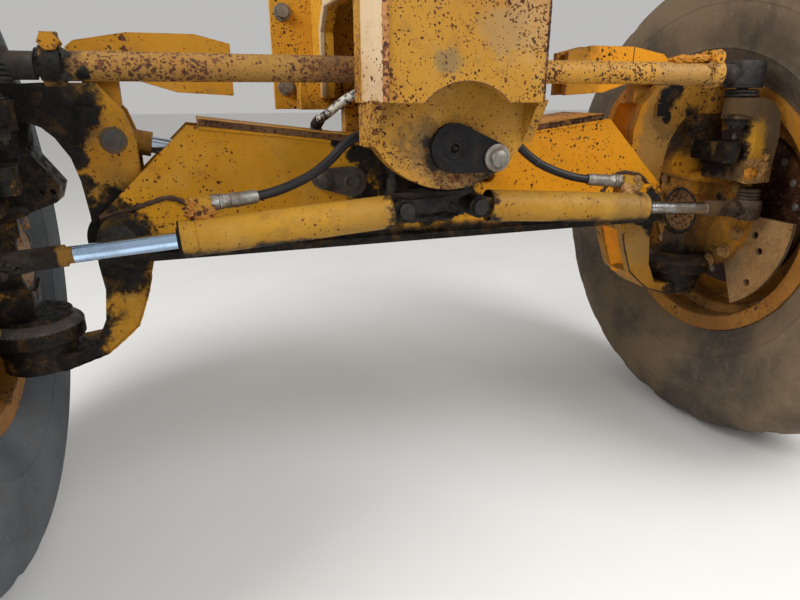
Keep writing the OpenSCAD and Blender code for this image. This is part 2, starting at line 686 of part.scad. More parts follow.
module tyre() color("#3b3835") about_axle() translate([0, wheel_x]) polygon([
  [bead_r, -bead_y], [rim_flange_r + 1, -bead_y], [rim_flange_r + 14, -rim_w / 2 - 2],
  [rim_flange_r + 60, -tyre_w / 2 + 12], [tyre_r - 160, -tyre_w / 2], [tyre_r - 96, -tyre_w / 2 + 4],
  [tyre_r - 40, -tyre_w / 2 + 24], [tyre_r - 20, -tyre_w / 2 + 52], [tyre_r, -24],
  [tyre_r, 24], [tyre_r - 20, tyre_w / 2 - 52], [tyre_r - 40, tyre_w / 2 - 24],
  [tyre_r - 96, tyre_w / 2 - 4], [tyre_r - 160, tyre_w / 2], [rim_flange_r + 60, tyre_w / 2 - 12],
  [rim_flange_r + 14, rim_w / 2 + 2], [rim_flange_r + 1, bead_y], [bead_r, bead_y],
  [bead_r, bead_y - bead_w], [rim_flange_r + 30, rim_w / 2 - 10],
  [tyre_r - 140, tyre_w / 2 - wall_side], [tyre_r - 70, tyre_w / 2 - wall_side - 14],
  [tyre_r - wall_tread, 0], [tyre_r - 70, -tyre_w / 2 + wall_side + 14],
  [tyre_r - 140, -tyre_w / 2 + wall_side], [rim_flange_r + 30, -rim_w / 2 + 10],
  [bead_r, -bead_y + bead_w]]);

// HOSES: tubes swept along points chosen by hand.
hose_right_route = [
  steer_point(port_stub_x - seat_gap, port_z), steer_point(port_stub_x - 14, port_z),
  [352, -166, 783], [318, -160, 789], [280, -154, 801], [242, -148, 818], [208, -143, 842],
  [182, -140, 866], [160, -138, 880], [138, -135, 882], [118, -130, 870], [102, -123, 849],
  [90, -118, 828], [81, -115, 813], [78, -115, 806], [anchor_x, -115, stub_z + seat_gap]];
hose_left_route = [for (p = hose_right_route) [-p[0], p[1], p[2]]];
hose_lean_route = [
  port_point(port_r + seat_gap), port_point(port_r + 12), [-206, 5, 896], [-199, -12, 909],
  [-184, -30, 922], [-164, -44, 940], [-142, -54, 954], [-118, -60, 964], [-90, -62, 970],
  [-64, -62, 970], [-44, -62, 964], [-33, -62, 955], hose_end + [0, 0, 9], hose_end + [0, 0, seat_gap]];

function unit(v) = v / norm(v);
function heading(p, i) = unit(p[min(i + 1, len(p) - 1)] - p[max(i - 1, 0)]);

module tube_along(p, r, sides) {
  rings = [for (i = [0 : len(p) - 1])
    let (t = heading(p, i), u = unit(cross(t, [0, 1, 0.2])), v = cross(t, u))
    for (k = [0 : sides - 1]) p[i] + r * (cos(k * 360 / sides) * u + sin(k * 360 / sides) * v)];
  walls = [for (i = [0 : len(p) - 2], k = [0 : sides - 1])
    [i * sides + k, i * sides + (k + 1) % sides, (i + 1) * sides + (k + 1) % sides, (i + 1) * sides + k]];
  last = (len(p) - 1) * sides;
  caps = [[for (k = [sides - 1 : -1 : 0]) k], [for (k = [0 : sides - 1]) last + k]];
  polyhedron(rings, concat(walls, caps));
}

module hose(route) color("#1d1d1f") at_mount() tube_along(route, hose_r, 10);

nose_box();
pivot_pin();
pivot_retainer();
axle_beam();
cylinder_anchor();
sided(-1) lean_pin();  // lean_pin_left
sided(1) lean_pin();  // lean_pin_right
lean_base_pin();
sided(-1) yoke();  // yoke_left
sided(1) yoke();  // yoke_right
sided(-1) kingpins();  // kingpins_left
sided(1) kingpins();  // kingpins_right
sided(-1) bar_pin();  // bar_pin_left
sided(1) bar_pin();  // bar_pin_right
lean_bar();
lean_barrel();
lean_rod();
sided(-1) spindle();  // spindle_left
sided(1) spindle();  // spindle_right
union() { sided(-1) steering_arm(); sided(-1) ball_left(); }  // steering_arm_left
sided(1) steering_arm();  // steering_arm_right
sided(-1) steer_barrel();  // steer_barrel_left
sided(1) steer_barrel();  // steer_barrel_right
sided(-1) steer_rod();  // steer_rod_left
sided(1) steer_rod();  // steer_rod_right
tie_boot_left();
tie_rod_tube();
tie_rod_end_left();
tie_rod_end_right();
sided(-1) hub();  // hub_left
sided(1) hub();  // hub_right
sided(-1) rim();  // rim_left
sided(1) rim();  // rim_right
sided(-1) tyre();  // tyre_left
sided(1) tyre();  // tyre_right
hose(hose_left_route);  // hose_left
hose(hose_right_route);  // hose_right
hose(hose_lean_route);  // hose_lean
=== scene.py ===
# Front axle of a motor grader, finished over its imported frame.
# Figures in the dictionaries are the machine's millimetres: X to the side, Y to the rear, Z up.
# atMount() turns them into the frame's metres.
import math

import bmesh
import bpy
from mathutils import Matrix, Vector, noise


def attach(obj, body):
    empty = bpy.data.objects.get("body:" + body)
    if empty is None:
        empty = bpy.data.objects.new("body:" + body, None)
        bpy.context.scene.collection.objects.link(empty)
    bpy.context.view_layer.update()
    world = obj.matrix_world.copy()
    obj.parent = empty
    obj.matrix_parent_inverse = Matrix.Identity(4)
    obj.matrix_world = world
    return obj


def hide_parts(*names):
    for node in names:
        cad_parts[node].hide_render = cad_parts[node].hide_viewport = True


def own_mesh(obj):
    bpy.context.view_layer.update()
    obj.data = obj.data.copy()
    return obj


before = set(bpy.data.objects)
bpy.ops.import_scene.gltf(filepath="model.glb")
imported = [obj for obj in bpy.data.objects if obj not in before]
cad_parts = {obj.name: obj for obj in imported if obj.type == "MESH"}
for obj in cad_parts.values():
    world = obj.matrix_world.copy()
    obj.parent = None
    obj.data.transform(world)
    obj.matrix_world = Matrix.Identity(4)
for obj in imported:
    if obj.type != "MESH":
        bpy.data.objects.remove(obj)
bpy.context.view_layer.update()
print("frame loaded")

mount = {"y": 190, "z": 1050}
wheelCentre = {"x": 980, "z": 660}
sideNames = {1: ("right", "r"), -1: ("left", "l")}
toFront, toRear, toTop, toFloor = (0, -1, 0), (0, 1, 0), (0, 0, 1), (0, 0, -1)


def atMount(x, y, z):
    return Vector((x / 1000, (y - mount["y"]) / 1000, (z - mount["z"]) / 1000))


# camera at the photograph's place
cameraSetup = {"place": (-460, -1285, 960), "tilt": 71.0, "turn": -18.85, "lens": 27.05, "sensor": 36, "near": 0.02}
cameraData = bpy.data.cameras.new("axleCamera")
cameraData.sensor_width = cameraSetup["sensor"]
cameraData.lens = cameraSetup["lens"]
cameraData.clip_start = cameraSetup["near"]
axleCamera = bpy.data.objects.new("axleCamera", cameraData)
bpy.context.collection.objects.link(axleCamera)
axleCamera.location = atMount(*cameraSetup["place"])
axleCamera.rotation_euler = (math.radians(cameraSetup["tilt"]), 0, math.radians(cameraSetup["turn"]))
bpy.context.scene.camera = axleCamera


# small helpers for node trees
def setPlug(tree, plug, value):
    if isinstance(value, bpy.types.NodeSocket):
        tree.links.new(value, plug)
    else:
        plug.default_value = value


def addNode(tree, kind, settings=None, **values):
    # values: inputs by name, with _ for a space
    made = tree.nodes.new(kind)
    for name, value in (settings or {}).items():
        setattr(made, name, value)
    for name, value in values.items():
        setPlug(tree, made.inputs[name.replace("_", " ")], value)
    return made


def fillNode(tree, kind, settings, places, values):
    made = addNode(tree, kind, settings)
    for place, value in zip(places, values):
        setPlug(tree, made.inputs[place], value)
    return made.outputs


def calc(tree, operation, *values):
    return fillNode(tree, "ShaderNodeMath", {"operation": operation}, range(3), values)[0]


def vectorCalc(tree, operation, *values):
    return fillNode(tree, "ShaderNodeVectorMath", {"operation": operation}, range(3), values)


def times(tree, first, second):
    return calc(tree, "MULTIPLY", first, second)


def strongest(tree, masks):
    top = masks[0]
    for other in masks[1:]:
        top = calc(tree, "MAXIMUM", top, other)
    return top


def fade(tree, value, low, high, bottom=0.0, top=1.0):
    values = (value, low, high, bottom, top)
    return fillNode(tree, "ShaderNodeMapRange", {"interpolation_type": "SMOOTHSTEP"}, range(5), values)[0]


def blendColour(tree, mask, under, over):
    values = [(*value, 1) if isinstance(value, tuple) else value for value in (mask, under, over)]
    return fillNode(tree, "ShaderNodeMix", {"data_type": "RGBA"}, (0, 6, 7), values)[2]


def blendValue(tree, mask, under, over):
    return fillNode(tree, "ShaderNodeMix", {}, (0, 2, 3), (mask, under, over))[0]


def shaded(tint, amount):
    return tuple(c * amount for c in tint)


def cloudy(tree, place, scale, detail=4.0, roughness=0.55):
    made = addNode(tree, "ShaderNodeTexNoise", Vector=place, Scale=scale, Detail=detail, Roughness=roughness)
    return made.outputs["Fac"]


def mottle(tree, place, scale, detail, roughness, low, high, bottom=0.0, top=1.0):
    return fade(tree, cloudy(tree, place, scale, detail, roughness), low, high, bottom, top)


def ragged(tree, place, scale, detail, roughness, amount):
    # noise round zero, for shifting an edge
    return times(tree, calc(tree, "SUBTRACT", cloudy(tree, place, scale, detail, roughness), 0.5), amount)


def newGroup(name, **inputs):
    # inputs: a number's default, or None for a vector; the only output is a mask
    tree = bpy.data.node_groups.new(name, "ShaderNodeTree")
    for label, value in inputs.items():
        kind = "NodeSocketVector" if value is None else "NodeSocketFloat"
        made = tree.interface.new_socket(label, in_out="INPUT", socket_type=kind)
        if value is not None:
            made.default_value = value
    tree.interface.new_socket("Mask", in_out="OUTPUT", socket_type="NodeSocketFloat")
    return tree, tree.nodes.new("NodeGroupInput").outputs, tree.nodes.new("NodeGroupOutput").inputs["Mask"]


def useGroup(tree, group, **values):
    return addNode(tree, "ShaderNodeGroup", {"node_tree": group}, **values).outputs["Mask"]


# worn edges: where the rounded normal leaves the flat one, broken up by noise
edgeWear, given, result = newGroup("edgeWear", Place=None, Width=0.004, Breakup=60.0)
rounded = addNode(edgeWear, "ShaderNodeBevel", {"samples": 4}, Radius=given["Width"]).outputs[0]
flatNormal = edgeWear.nodes.new("ShaderNodeNewGeometry").outputs["Normal"]
likeness = vectorCalc(edgeWear, "DOT_PRODUCT", rounded, flatNormal)["Value"]
bend = fade(edgeWear, calc(edgeWear, "SUBTRACT", 1.0, likeness), 0.005, 0.12)
patchy = mottle(edgeWear, given["Place"], given["Breakup"], 5.0, 0.65, 0.42, 0.6)
edgeWear.links.new(times(edgeWear, bend, patchy), result)

# rust specks: round spots of many sizes, some run together
rustSpecks, given, result = newGroup("rustSpecks", Place=None, Size=0.03, Cover=0.4)
wobble = addNode(rustSpecks, "ShaderNodeTexNoise", Vector=given["Place"], Scale=90.0, Detail=3.0)
shifted = vectorCalc(rustSpecks, "MULTIPLY_ADD", wobble.outputs["Color"], (0.009, 0.009, 0.009), given["Place"])[0]
perMetre = calc(rustSpecks, "DIVIDE", 1.0, given["Size"])
cells = addNode(rustSpecks, "ShaderNodeTexVoronoi", Vector=shifted, Scale=perMetre).outputs
cellChance = addNode(rustSpecks, "ShaderNodeSeparateColor", Color=cells["Color"]).outputs[0]
region = mottle(rustSpecks, given["Place"], 5.5, 4.0, 0.6, 0.35, 0.68)
cover = times(rustSpecks, given["Cover"], calc(rustSpecks, "ADD", 0.35, region))
reach = times(rustSpecks, calc(rustSpecks, "POWER", cellChance, 3.0), cover)
spot = calc(rustSpecks, "SUBTRACT", reach, cells["Distance"])
rustSpecks.links.new(fade(rustSpecks, spot, -0.04, 0.05), result)

# grease: a ragged patch round one centre
greasePatch, given, result = newGroup("greasePatch", Place=None, Centre=None, Radius=0.1)
away = vectorCalc(greasePatch, "DISTANCE", given["Place"], given["Centre"])["Value"]
broad = ragged(greasePatch, given["Place"], 13.0, 3.0, 0.55, 1.5)
torn = ragged(greasePatch, given["Place"], 55.0, 9.0, 0.72, 1.9)
share = calc(greasePatch, "DIVIDE", away, given["Radius"])
howFar = calc(greasePatch, "ADD", share, calc(greasePatch, "ADD", broad, torn))
greasePatch.links.new(fade(greasePatch, howFar, 1.32, 0.6), result)

# dust that settles on what faces up
dustFilm, given, result = newGroup("dustFilm", Place=None, Facing=None, Amount=0.5)
upward = addNode(dustFilm, "ShaderNodeSeparateXYZ", Vector=given["Facing"]).outputs["Z"]
upward = fade(dustFilm, upward, 0.1, 0.95, 0.12, 1.0)
settled = mottle(dustFilm, given["Place"], 22.0, 6.0, 0.6, 0.3, 0.72)
dustFilm.links.new(times(dustFilm, times(dustFilm, upward, settled), given["Amount"]), result)


def startMaterial(name, specular=0.5):
    material = bpy.data.materials.new(name)
    material.use_nodes = True
    tree = material.node_tree
    shader = next(n for n in tree.nodes if n.type == "BSDF_PRINCIPLED").inputs
    shader["Specular IOR Level"].default_value = specular
    where = tree.nodes.new("ShaderNodeTexCoord").outputs
    return material, tree, shader, where["Object"], where["Normal"]


def coatSurface(tree, shader, colour, rough, height, depth, strength):
    bump = addNode(tree, "ShaderNodeBump", Strength=strength, Distance=depth, Height=height).outputs[0]
    for name, value in (("Base Color", colour), ("Roughness", rough), ("Normal", bump)):
        setPlug(tree, shader[name], value)


def dusted(tree, place, facing, amount, colour, tint):
    film = useGroup(tree, dustFilm, Place=place, Facing=facing, Amount=amount)
    return blendColour(tree, film, colour, tint)


def patchAt(tree, place, x, y, z, radius):
    return useGroup(tree, greasePatch, Place=place, Centre=atMount(x, y, z), Radius=radius / 1000)


# paint that has stood outside for years
# grease rows: x, y, z, radius; rows of stains and painted light: x, y, z, radius, tint, strength; some are real
# stains, some are painted sunlight or painted shade
# beyond: distance from the centre plane, and the tint out there
paintLook = {
    "base": (0.5, 0.235, 0.009), "deep": (0.38, 0.16, 0.006), "faded": (0.55, 0.32, 0.06),
    "rust": (0.045, 0.017, 0.009), "freshRust": (0.19, 0.065, 0.018), "haloTint": (0.3, 0.115, 0.022),
    "greaseTint": (0.0055, 0.0048, 0.0042), "thinTint": (0.085, 0.045, 0.012), "crustTint": (0.06, 0.034, 0.014),
    "dustTint": (0.3, 0.2, 0.095), "grimeTint": (0.12, 0.066, 0.022), "streakTint": (0.2, 0.098, 0.026),
    "fine": 0.0052, "small": 0.0105, "large": 0.021, "fineShare": 1.05, "smallShare": 0.86, "blotches": 0.62,
    "specks": 0.5, "edges": 0.7, "dust": 0.3, "grime": 0.35, "crust": 0.3, "roughness": 0.52, "specular": 0.22,
    "grease": (), "greaseBelow": None, "stains": (), "beyond": None,
}


def paintedSteel(name, **facts):
    look = {**paintLook, **facts}
    material, tree, shader, place, facing = startMaterial(name, look["specular"])
    specks, grime = look["specks"], look["grime"]
    colour = blendColour(tree, mottle(tree, place, 3.2, 5.0, 0.55, 0.34, 0.68), look["base"], look["deep"])
    chalk = times(tree, mottle(tree, place, 9.0, 7.0, 0.66, 0.48, 0.76), 0.5)
    colour = blendColour(tree, chalk, colour, look["faded"])
    # grime worked into the paint, then brown streaks that run down the faces
    dirt = times(tree, mottle(tree, place, 33.0, 9.0, 0.72, 0.48, 0.76), grime)
    colour = blendColour(tree, dirt, colour, look["grimeTint"])
    streakPlace = addNode(tree, "ShaderNodeMapping", Vector=place, Scale=(26.0, 26.0, 2.2)).outputs[0]
    streaks = times(tree, mottle(tree, streakPlace, 1.0, 5.0, 0.6, 0.56, 0.76), grime * 0.9)
    colour = blendColour(tree, streaks, colour, look["streakTint"])
    # each row blends a tint round a centre: real stains, and also patches of painted sunlight and painted shade
    for x, y, z, radius, tint, strength in look["stains"]:
        colour = blendColour(tree, times(tree, patchAt(tree, place, x, y, z, radius), strength), colour, tint)
    if look["beyond"]:
        start, tint = look["beyond"]
        sides = addNode(tree, "ShaderNodeSeparateXYZ", Vector=place).outputs["X"]
        outer = fade(tree, calc(tree, "ABSOLUTE", sides), start / 1000, start / 1000 + 0.0006)
        bare = blendColour(tree, mottle(tree, place, 26.0, 7.0, 0.7, 0.4, 0.66), tint, shaded(tint, 0.55))
        colour = blendColour(tree, outer, colour, bare)
    # rust: specks of three sizes and worn edges, in a stain that spreads round them
    masks = [useGroup(tree, rustSpecks, Place=place, Size=look[size], Cover=specks * look[share])
             for size, share in (("fine", "fineShare"), ("small", "smallShare"), ("large", "blotches"))]
    worn = useGroup(tree, edgeWear, Place=place, Width=0.0042, Breakup=48.0)
    rustMask = strongest(tree, masks + [times(tree, worn, look["edges"])])
    rustTone = blendColour(tree, mottle(tree, place, 120.0, 4.0, 0.55, 0.4, 0.66), look["rust"], look["freshRust"])
    halo = times(tree, mottle(tree, place, 6.0, 7.0, 0.62, 0.52, 0.78), 0.55 * min(1.0, specks * 1.6))
    colour = blendColour(tree, halo, colour, look["haloTint"])
    colour = blendColour(tree, rustMask, colour, rustTone)
    film = useGroup(tree, dustFilm, Place=place, Facing=facing, Amount=look["dust"])
    colour = blendColour(tree, film, colour, look["dustTint"])
    rough = blendValue(tree, film, blendValue(tree, rustMask, look["roughness"], 0.88), 0.92)
    orangePeel = times(tree, cloudy(tree, place, 260.0, 3.0), 0.22)
    height = calc(tree, "SUBTRACT", orangePeel, times(tree, rustMask, 0.6))
    masks = [patchAt(tree, place, *row) for row in look["grease"]]
    # below this height the paint goes dark and greasy: partly real grease, partly painted shade on the undersides
    if look["greaseBelow"]:
        upright = addNode(tree, "ShaderNodeSeparateXYZ", Vector=place).outputs["Z"]
        level = (look["greaseBelow"] - mount["z"]) / 1000
        uneven = calc(tree, "ADD", upright, ragged(tree, place, 9.0, 7.0, 0.65, 0.075))
        masks.append(fade(tree, uneven, level + 0.016, level - 0.012))
    if masks:
        # the film thins out in places and lets the paint through as a brown stain
        greasy = strongest(tree, masks)
        colour = blendColour(tree, times(tree, fade(tree, greasy, 0.0, 0.5), 0.75), colour, look["thinTint"])
        thin = mottle(tree, place, 24.0, 8.0, 0.72, 0.3, 0.52, 0.62, 1.0)
        greasy = times(tree, fade(tree, greasy, 0.3, 0.9), thin)
        colour = blendColour(tree, greasy, colour, look["greaseTint"])
        crust = times(tree, greasy, mottle(tree, place, 30.0, 9.0, 0.74, 0.52, 0.74))
        colour = blendColour(tree, times(tree, crust, look["crust"]), colour, look["crustTint"])
        shine = blendValue(tree, mottle(tree, place, 60.0, 4.0, 0.55, 0.4, 0.6), 0.4, 0.78)
        rough = blendValue(tree, greasy, rough, shine)
        lumps = times(tree, cloudy(tree, place, 48.0, 7.0, 0.7), times(tree, greasy, 2.4))
        height = calc(tree, "ADD", height, lumps)
    coatSurface(tree, shader, colour, rough, height, 0.0022, 0.65)
    return material


def chromedRod(name, start, end, endTint, collarTint, collar, shine):
    # start and end are places on the rod: chrome between them, then a painted collar and a dirty eye; the chrome's
    # tint carries a painted sky-blue reflection on the left and lean rods
    material, tree, shader, place, facing = startMaterial(name, 0.2)
    haze = mottle(tree, place, 34.0, 6.0, 0.65, 0.42, 0.72)
    chrome = blendColour(tree, times(tree, haze, 0.5), shine, shaded(shine, 0.55))
    last = atMount(*end)
    along = (last - atMount(*start)).normalized()
    travelled = vectorCalc(tree, "DOT_PRODUCT", place, along)["Value"]
    travelled = calc(tree, "SUBTRACT", travelled, last.dot(along))
    beyond = fade(tree, travelled, -0.0004, 0.0004)
    eyeStart = calc(tree, "ADD", travelled, ragged(tree, place, 40.0, 6.0, 0.55, 0.03))
    eye = fade(tree, eyeStart, collar / 1000 - 0.004, collar / 1000 + 0.004)
    mottled = mottle(tree, place, 30.0, 8.0, 0.7, 0.42, 0.64)
    dirty = blendColour(tree, mottled, endTint, tuple(c * 3.0 + 0.006 for c in endTint))
    collarPaint = blendColour(tree, times(tree, mottled, 0.6), collarTint, (0.09, 0.045, 0.016))
    colour = blendColour(tree, beyond, chrome, blendColour(tree, eye, collarPaint, dirty))
    film = useGroup(tree, dustFilm, Place=place, Facing=facing, Amount=0.15)
    colour = blendColour(tree, times(tree, film, beyond), colour, (0.2, 0.14, 0.08))
    setPlug(tree, shader["Metallic"], calc(tree, "SUBTRACT", 1.0, beyond))
    rough = blendValue(tree, beyond, blendValue(tree, haze, 0.17, 0.34), blendValue(tree, mottled, 0.5, 0.85))
    scratch = times(tree, cloudy(tree, place, 220.0, 3.0), 0.12)
    lumps = times(tree, cloudy(tree, place, 60.0, 8.0, 0.7), beyond)
    coatSurface(tree, shader, colour, rough, calc(tree, "ADD", scratch, lumps), 0.003, 0.6)
    return material


def bareSteel(name, tint, rustiness, roughness, metallic, dust=0.4, gloss=0.35):
    material, tree, shader, place, facing = startMaterial(name, gloss)
    shader["Metallic"].default_value = metallic
    colour = blendColour(tree, mottle(tree, place, 30.0, 7.0, 0.65, 0.38, 0.66), tint, shaded(tint, 0.5))
    rusty = times(tree, mottle(tree, place, 55.0, 8.0, 0.7, 0.46, 0.64), rustiness)
    colour = blendColour(tree, rusty, colour, (0.15, 0.062, 0.026))
    colour = dusted(tree, place, facing, dust, colour, (0.22, 0.17, 0.115))
    rough = blendValue(tree, rusty, roughness, 0.85)
    coatSurface(tree, shader, colour, rough, cloudy(tree, place, 110.0, 5.0, 0.7), 0.0016, 0.5)
    return material


def blackGrease(name, base, dusty):
    material, tree, shader, place, facing = startMaterial(name, 0.35)
    brown = tuple(c * 1.6 + d for c, d in zip(base, (0.028, 0.017, 0.009)))
    colour = blendColour(tree, mottle(tree, place, 19.0, 7.0, 0.66, 0.48, 0.7), base, brown)
    colour = dusted(tree, place, facing, dusty, colour, (0.2, 0.15, 0.1))
    rough = mottle(tree, place, 42.0, 5.0, 0.55, 0.35, 0.65, 0.38, 0.86)
    coatSurface(tree, shader, colour, rough, cloudy(tree, place, 70.0, 8.0, 0.72), 0.004, 0.8)
    return material


def hoseRubber(name, scuffFrom, scuffTint):
    material, tree, shader, place, facing = startMaterial(name, 0.3)
    scuff = mottle(tree, place, 46.0, 8.0, 0.75, scuffFrom, scuffFrom + 0.1)
    colour = blendColour(tree, scuff, (0.01, 0.01, 0.011), scuffTint)
    colour = dusted(tree, place, facing, 0.14, colour, (0.16, 0.13, 0.095))
    rough = blendValue(tree, scuff, 0.42, 0.75)
    coatSurface(tree, shader, colour, rough, cloudy(tree, place, 300.0, 3.0), 0.0007, 0.5)
    return material


def tyreRubber(name, dark, light, muddy):
    material, tree, shader, place, facing = startMaterial(name, 0.25)
    colour = blendColour(tree, mottle(tree, place, 4.0, 6.0, 0.6, 0.35, 0.65), dark, light)
    mud = mottle(tree, place, 9.0, 8.0, 0.68, 0.46, 0.74)
    colour = blendColour(tree, times(tree, mud, muddy), colour, (0.17, 0.115, 0.066))
    scuffs = times(tree, mottle(tree, place, 60.0, 8.0, 0.72, 0.55, 0.72), 0.35)
    colour = blendColour(tree, scuffs, colour, (0.24, 0.21, 0.18))
    rough = fade(tree, mud, 0.0, 1.0, 0.74, 0.95)
    coatSurface(tree, shader, colour, rough, cloudy(tree, place, 85.0, 8.0, 0.7), 0.0016, 0.6)
    return material


# floor and light
studio = {
    "floorZ": 26, "floorReach": 30, "floorTint": (0.8, 0.79, 0.77), "skyTint": (1.0, 0.99, 0.97, 1), "sky": 0.5,
    "aim": Vector((0, -0.2, -0.4)),
    # name, place in metres, size, power
    "lamps": [("keyLight", (2.5, -2.9, 2.5), 2.4, 140), ("fillLight", (-3.1, -1.3, 1.9), 2.0, 150)],
}


def makeFloor():
    mesh = bpy.data.meshes.new("studioFloor")
    reach, z = studio["floorReach"], atMount(0, 0, studio["floorZ"]).z
    mesh.from_pydata([(-reach, -reach, z), (reach, -reach, z), (reach, reach, z), (-reach, reach, z)], [],
                     [(0, 1, 2, 3)])
    floor = bpy.data.objects.new("studioFloor", mesh)
    bpy.context.collection.objects.link(floor)
    material, tree, shader, place, facing = startMaterial("studioFloor")
    grain = mottle(tree, place, 2.0, 4.0, 0.55, 0.3, 0.7)
    setPlug(tree, shader["Base Color"],
            blendColour(tree, grain, studio["floorTint"], shaded(studio["floorTint"], 0.97)))
    shader["Roughness"].default_value = 0.9
    mesh.materials.append(material)


def makeLights():
    world = bpy.data.worlds.new("softStudio")
    bpy.context.scene.world = world
    world.use_nodes = True
    world.node_tree.nodes["Background"].inputs[0].default_value = studio["skyTint"]
    world.node_tree.nodes["Background"].inputs[1].default_value = studio["sky"]
    for name, place, size, power in studio["lamps"]:
        lamp = bpy.data.lights.new(name, "AREA")
        lamp.size = size
        lamp.energy = power
        holder = bpy.data.objects.new(name, lamp)
        bpy.context.collection.objects.link(holder)
        holder.location = place
        holder.rotation_euler = (studio["aim"] - Vector(place)).to_track_quat("-Z", "Y").to_euler()


makeFloor()
makeLights()
bpy.context.scene.view_settings.view_transform = "Standard"
print("camera, floor and lights ready")


# finishes of the whole axle, each under its own name
finishes = {}


def addPaint(name, **facts):
    finishes[name] = paintedSteel(name, **facts)


# the bright orange patch at the lean bar's right end is painted sunlight
addPaint("machineYellow", specks=0.46, edges=0.75, dust=0.2, base=(0.46, 0.205, 0.01), faded=(0.5, 0.27, 0.05),
         stains=[(590, -20, 1045, 150, (0.85, 0.33, 0.006), 0.9)])
# the bright orange patch over the right half of the beam is painted sunlight; the dark band along the bottom is
# partly grease, partly painted shade
addPaint("beamYellow", specks=0.42, edges=0.8, greaseBelow=686, grime=0.3, dust=0.1,
         base=(0.57, 0.265, 0.005), deep=(0.47, 0.2, 0.004),
         grease=[(-612, -70, 706, 56), (-570, -80, 700, 40), (604, -60, 700, 44), (0, -110, 800, 128),
                 (90, -90, 748, 46), (-120, -84, 752, 36), (0, -60, 860, 90), (-176, -84, 866, 16),
                 (-140, -84, 846, 22), (-120, -84, 830, 26)],
         stains=[(430, -80, 800, 330, (0.82, 0.32, 0.005), 0.85), (-60, -84, 840, 70, (0.16, 0.08, 0.025), 0.6)])
# the bright orange patch high on the nose's left side is painted sunlight
addPaint("noseYellow", specks=0.8, edges=0.55, grime=0.42, dust=0.12, fine=0.0038, small=0.0074, blotches=0.42,
         base=(0.42, 0.205, 0.02), deep=(0.34, 0.15, 0.014), faded=(0.48, 0.29, 0.1), thinTint=(0.1, 0.062, 0.025),
         greaseTint=(0.02, 0.0165, 0.012),
         grease=[(36, -214, 772, 34), (66, -214, 778, 40), (-42, -240, 872, 20), (-36, -240, 842, 22)],
         stains=[(-210, 170, 1130, 260, (0.62, 0.3, 0.02), 0.8), (150, -300, 1120, 80, (0.4, 0.24, 0.1), 0.7),
                 (-40, -300, 1010, 26, (0.12, 0.11, 0.07), 0.6), (60, -300, 1060, 40, (0.3, 0.19, 0.08), 0.6),
                 (-46, -240, 866, 60, (0.1, 0.062, 0.025), 0.85), (20, -214, 786, 70, (0.12, 0.075, 0.03), 0.8),
                 (70, -214, 800, 60, (0.12, 0.075, 0.03), 0.6)])
addPaint("leftYokePaint", specks=0.36, edges=0.5, grime=0.6, dust=0.12,
         grease=[(-700, -60, 950, 76), (-740, -20, 950, 110), (-800, 0, 950, 120), (-660, -60, 900, 36),
                 (-655, -60, 850, 24), (-650, -52, 800, 20), (-640, -60, 936, 40), (-640, -60, 730, 50),
                 (-600, -60, 720, 66), (-600, -50, 655, 60), (-655, -50, 600, 28), (-700, -50, 520, 66),
                 (-760, -20, 460, 90), (-700, -50, 455, 50)],
         stains=[(-632, -60, 900, 34, (0.13, 0.07, 0.02), 0.7), (-600, -60, 800, 36, (0.2, 0.105, 0.02), 0.5),
                 (-640, -60, 960, 40, (0.07, 0.038, 0.014), 0.8)])
# the bright orange patches on the yoke's inner side, near x 546 to 566, are painted sunlight
addPaint("rightYokePaint", specks=0.45, edges=0.85, grime=0.6, dust=0.15,
         base=(0.4, 0.185, 0.018), deep=(0.3, 0.13, 0.014), faded=(0.42, 0.24, 0.075),
         grease=[(640, -60, 950, 26), (655, -58, 966, 22), (640, -54, 905, 14), (616, -60, 694, 44),
                 (640, -50, 640, 26), (785, 0, 462, 86), (760, -40, 480, 40), (790, 0, 950, 40), (720, -30, 912, 30)],
         stains=[(600, -60, 850, 90, (0.4, 0.22, 0.06), 0.7), (640, -60, 900, 50, (0.14, 0.08, 0.025), 0.7),
                 (620, -50, 600, 60, (0.3, 0.18, 0.07), 0.6), (700, -50, 940, 60, (0.42, 0.2, 0.02), 0.7),
                 (566, 55, 925, 62, (0.72, 0.27, 0.006), 0.95), (557, 50, 850, 60, (0.72, 0.27, 0.006), 0.95),
                 (550, 50, 780, 60, (0.6, 0.24, 0.01), 0.8), (556, -60, 925, 24, (0.66, 0.27, 0.01), 0.9),
                 (552, -60, 885, 26, (0.66, 0.27, 0.01), 0.9), (546, -60, 845, 28, (0.6, 0.25, 0.01), 0.8)])
addPaint("leftSpindlePaint", specks=0.4, edges=0.4, grime=0.7, dust=0.1, beyond=(862.6, (0.2, 0.13, 0.06)),
         grease=[(-790, 0, 900, 150), (-770, -60, 850, 140), (-780, -100, 880, 130), (-770, -180, 900, 130),
                 (-800, -185, 760, 80), (-785, 0, 515, 130), (-720, -50, 780, 60), (-800, -60, 660, 90)])
# the bright orange patches near x 690 to 740 are painted sunlight
addPaint("rightSpindlePaint", specks=0.4, edges=0.5, grime=0.75, dust=0.12, beyond=(862.6, (0.2, 0.14, 0.075)),
         base=(0.56, 0.235, 0.01), deep=(0.42, 0.16, 0.01), faded=(0.46, 0.24, 0.05),
         greaseTint=(0.012, 0.008, 0.0055),
         grease=[(785, 0, 880, 60), (770, -30, 486, 92), (785, -60, 520, 60), (860, -70, 700, 22)],
         stains=[(785, 0, 870, 110, (0.045, 0.024, 0.01), 0.9), (790, -60, 850, 80, (0.04, 0.022, 0.01), 0.9),
                 (785, -20, 530, 140, (0.035, 0.02, 0.011), 0.95), (850, -60, 690, 80, (0.09, 0.042, 0.014), 0.8),
                 (850, -90, 600, 60, (0.3, 0.14, 0.02), 0.6), (690, -50, 752, 56, (0.74, 0.31, 0.008), 0.9),
                 (740, -60, 770, 46, (0.5, 0.21, 0.012), 0.8), (712, -60, 590, 46, (0.6, 0.26, 0.012), 0.7)])
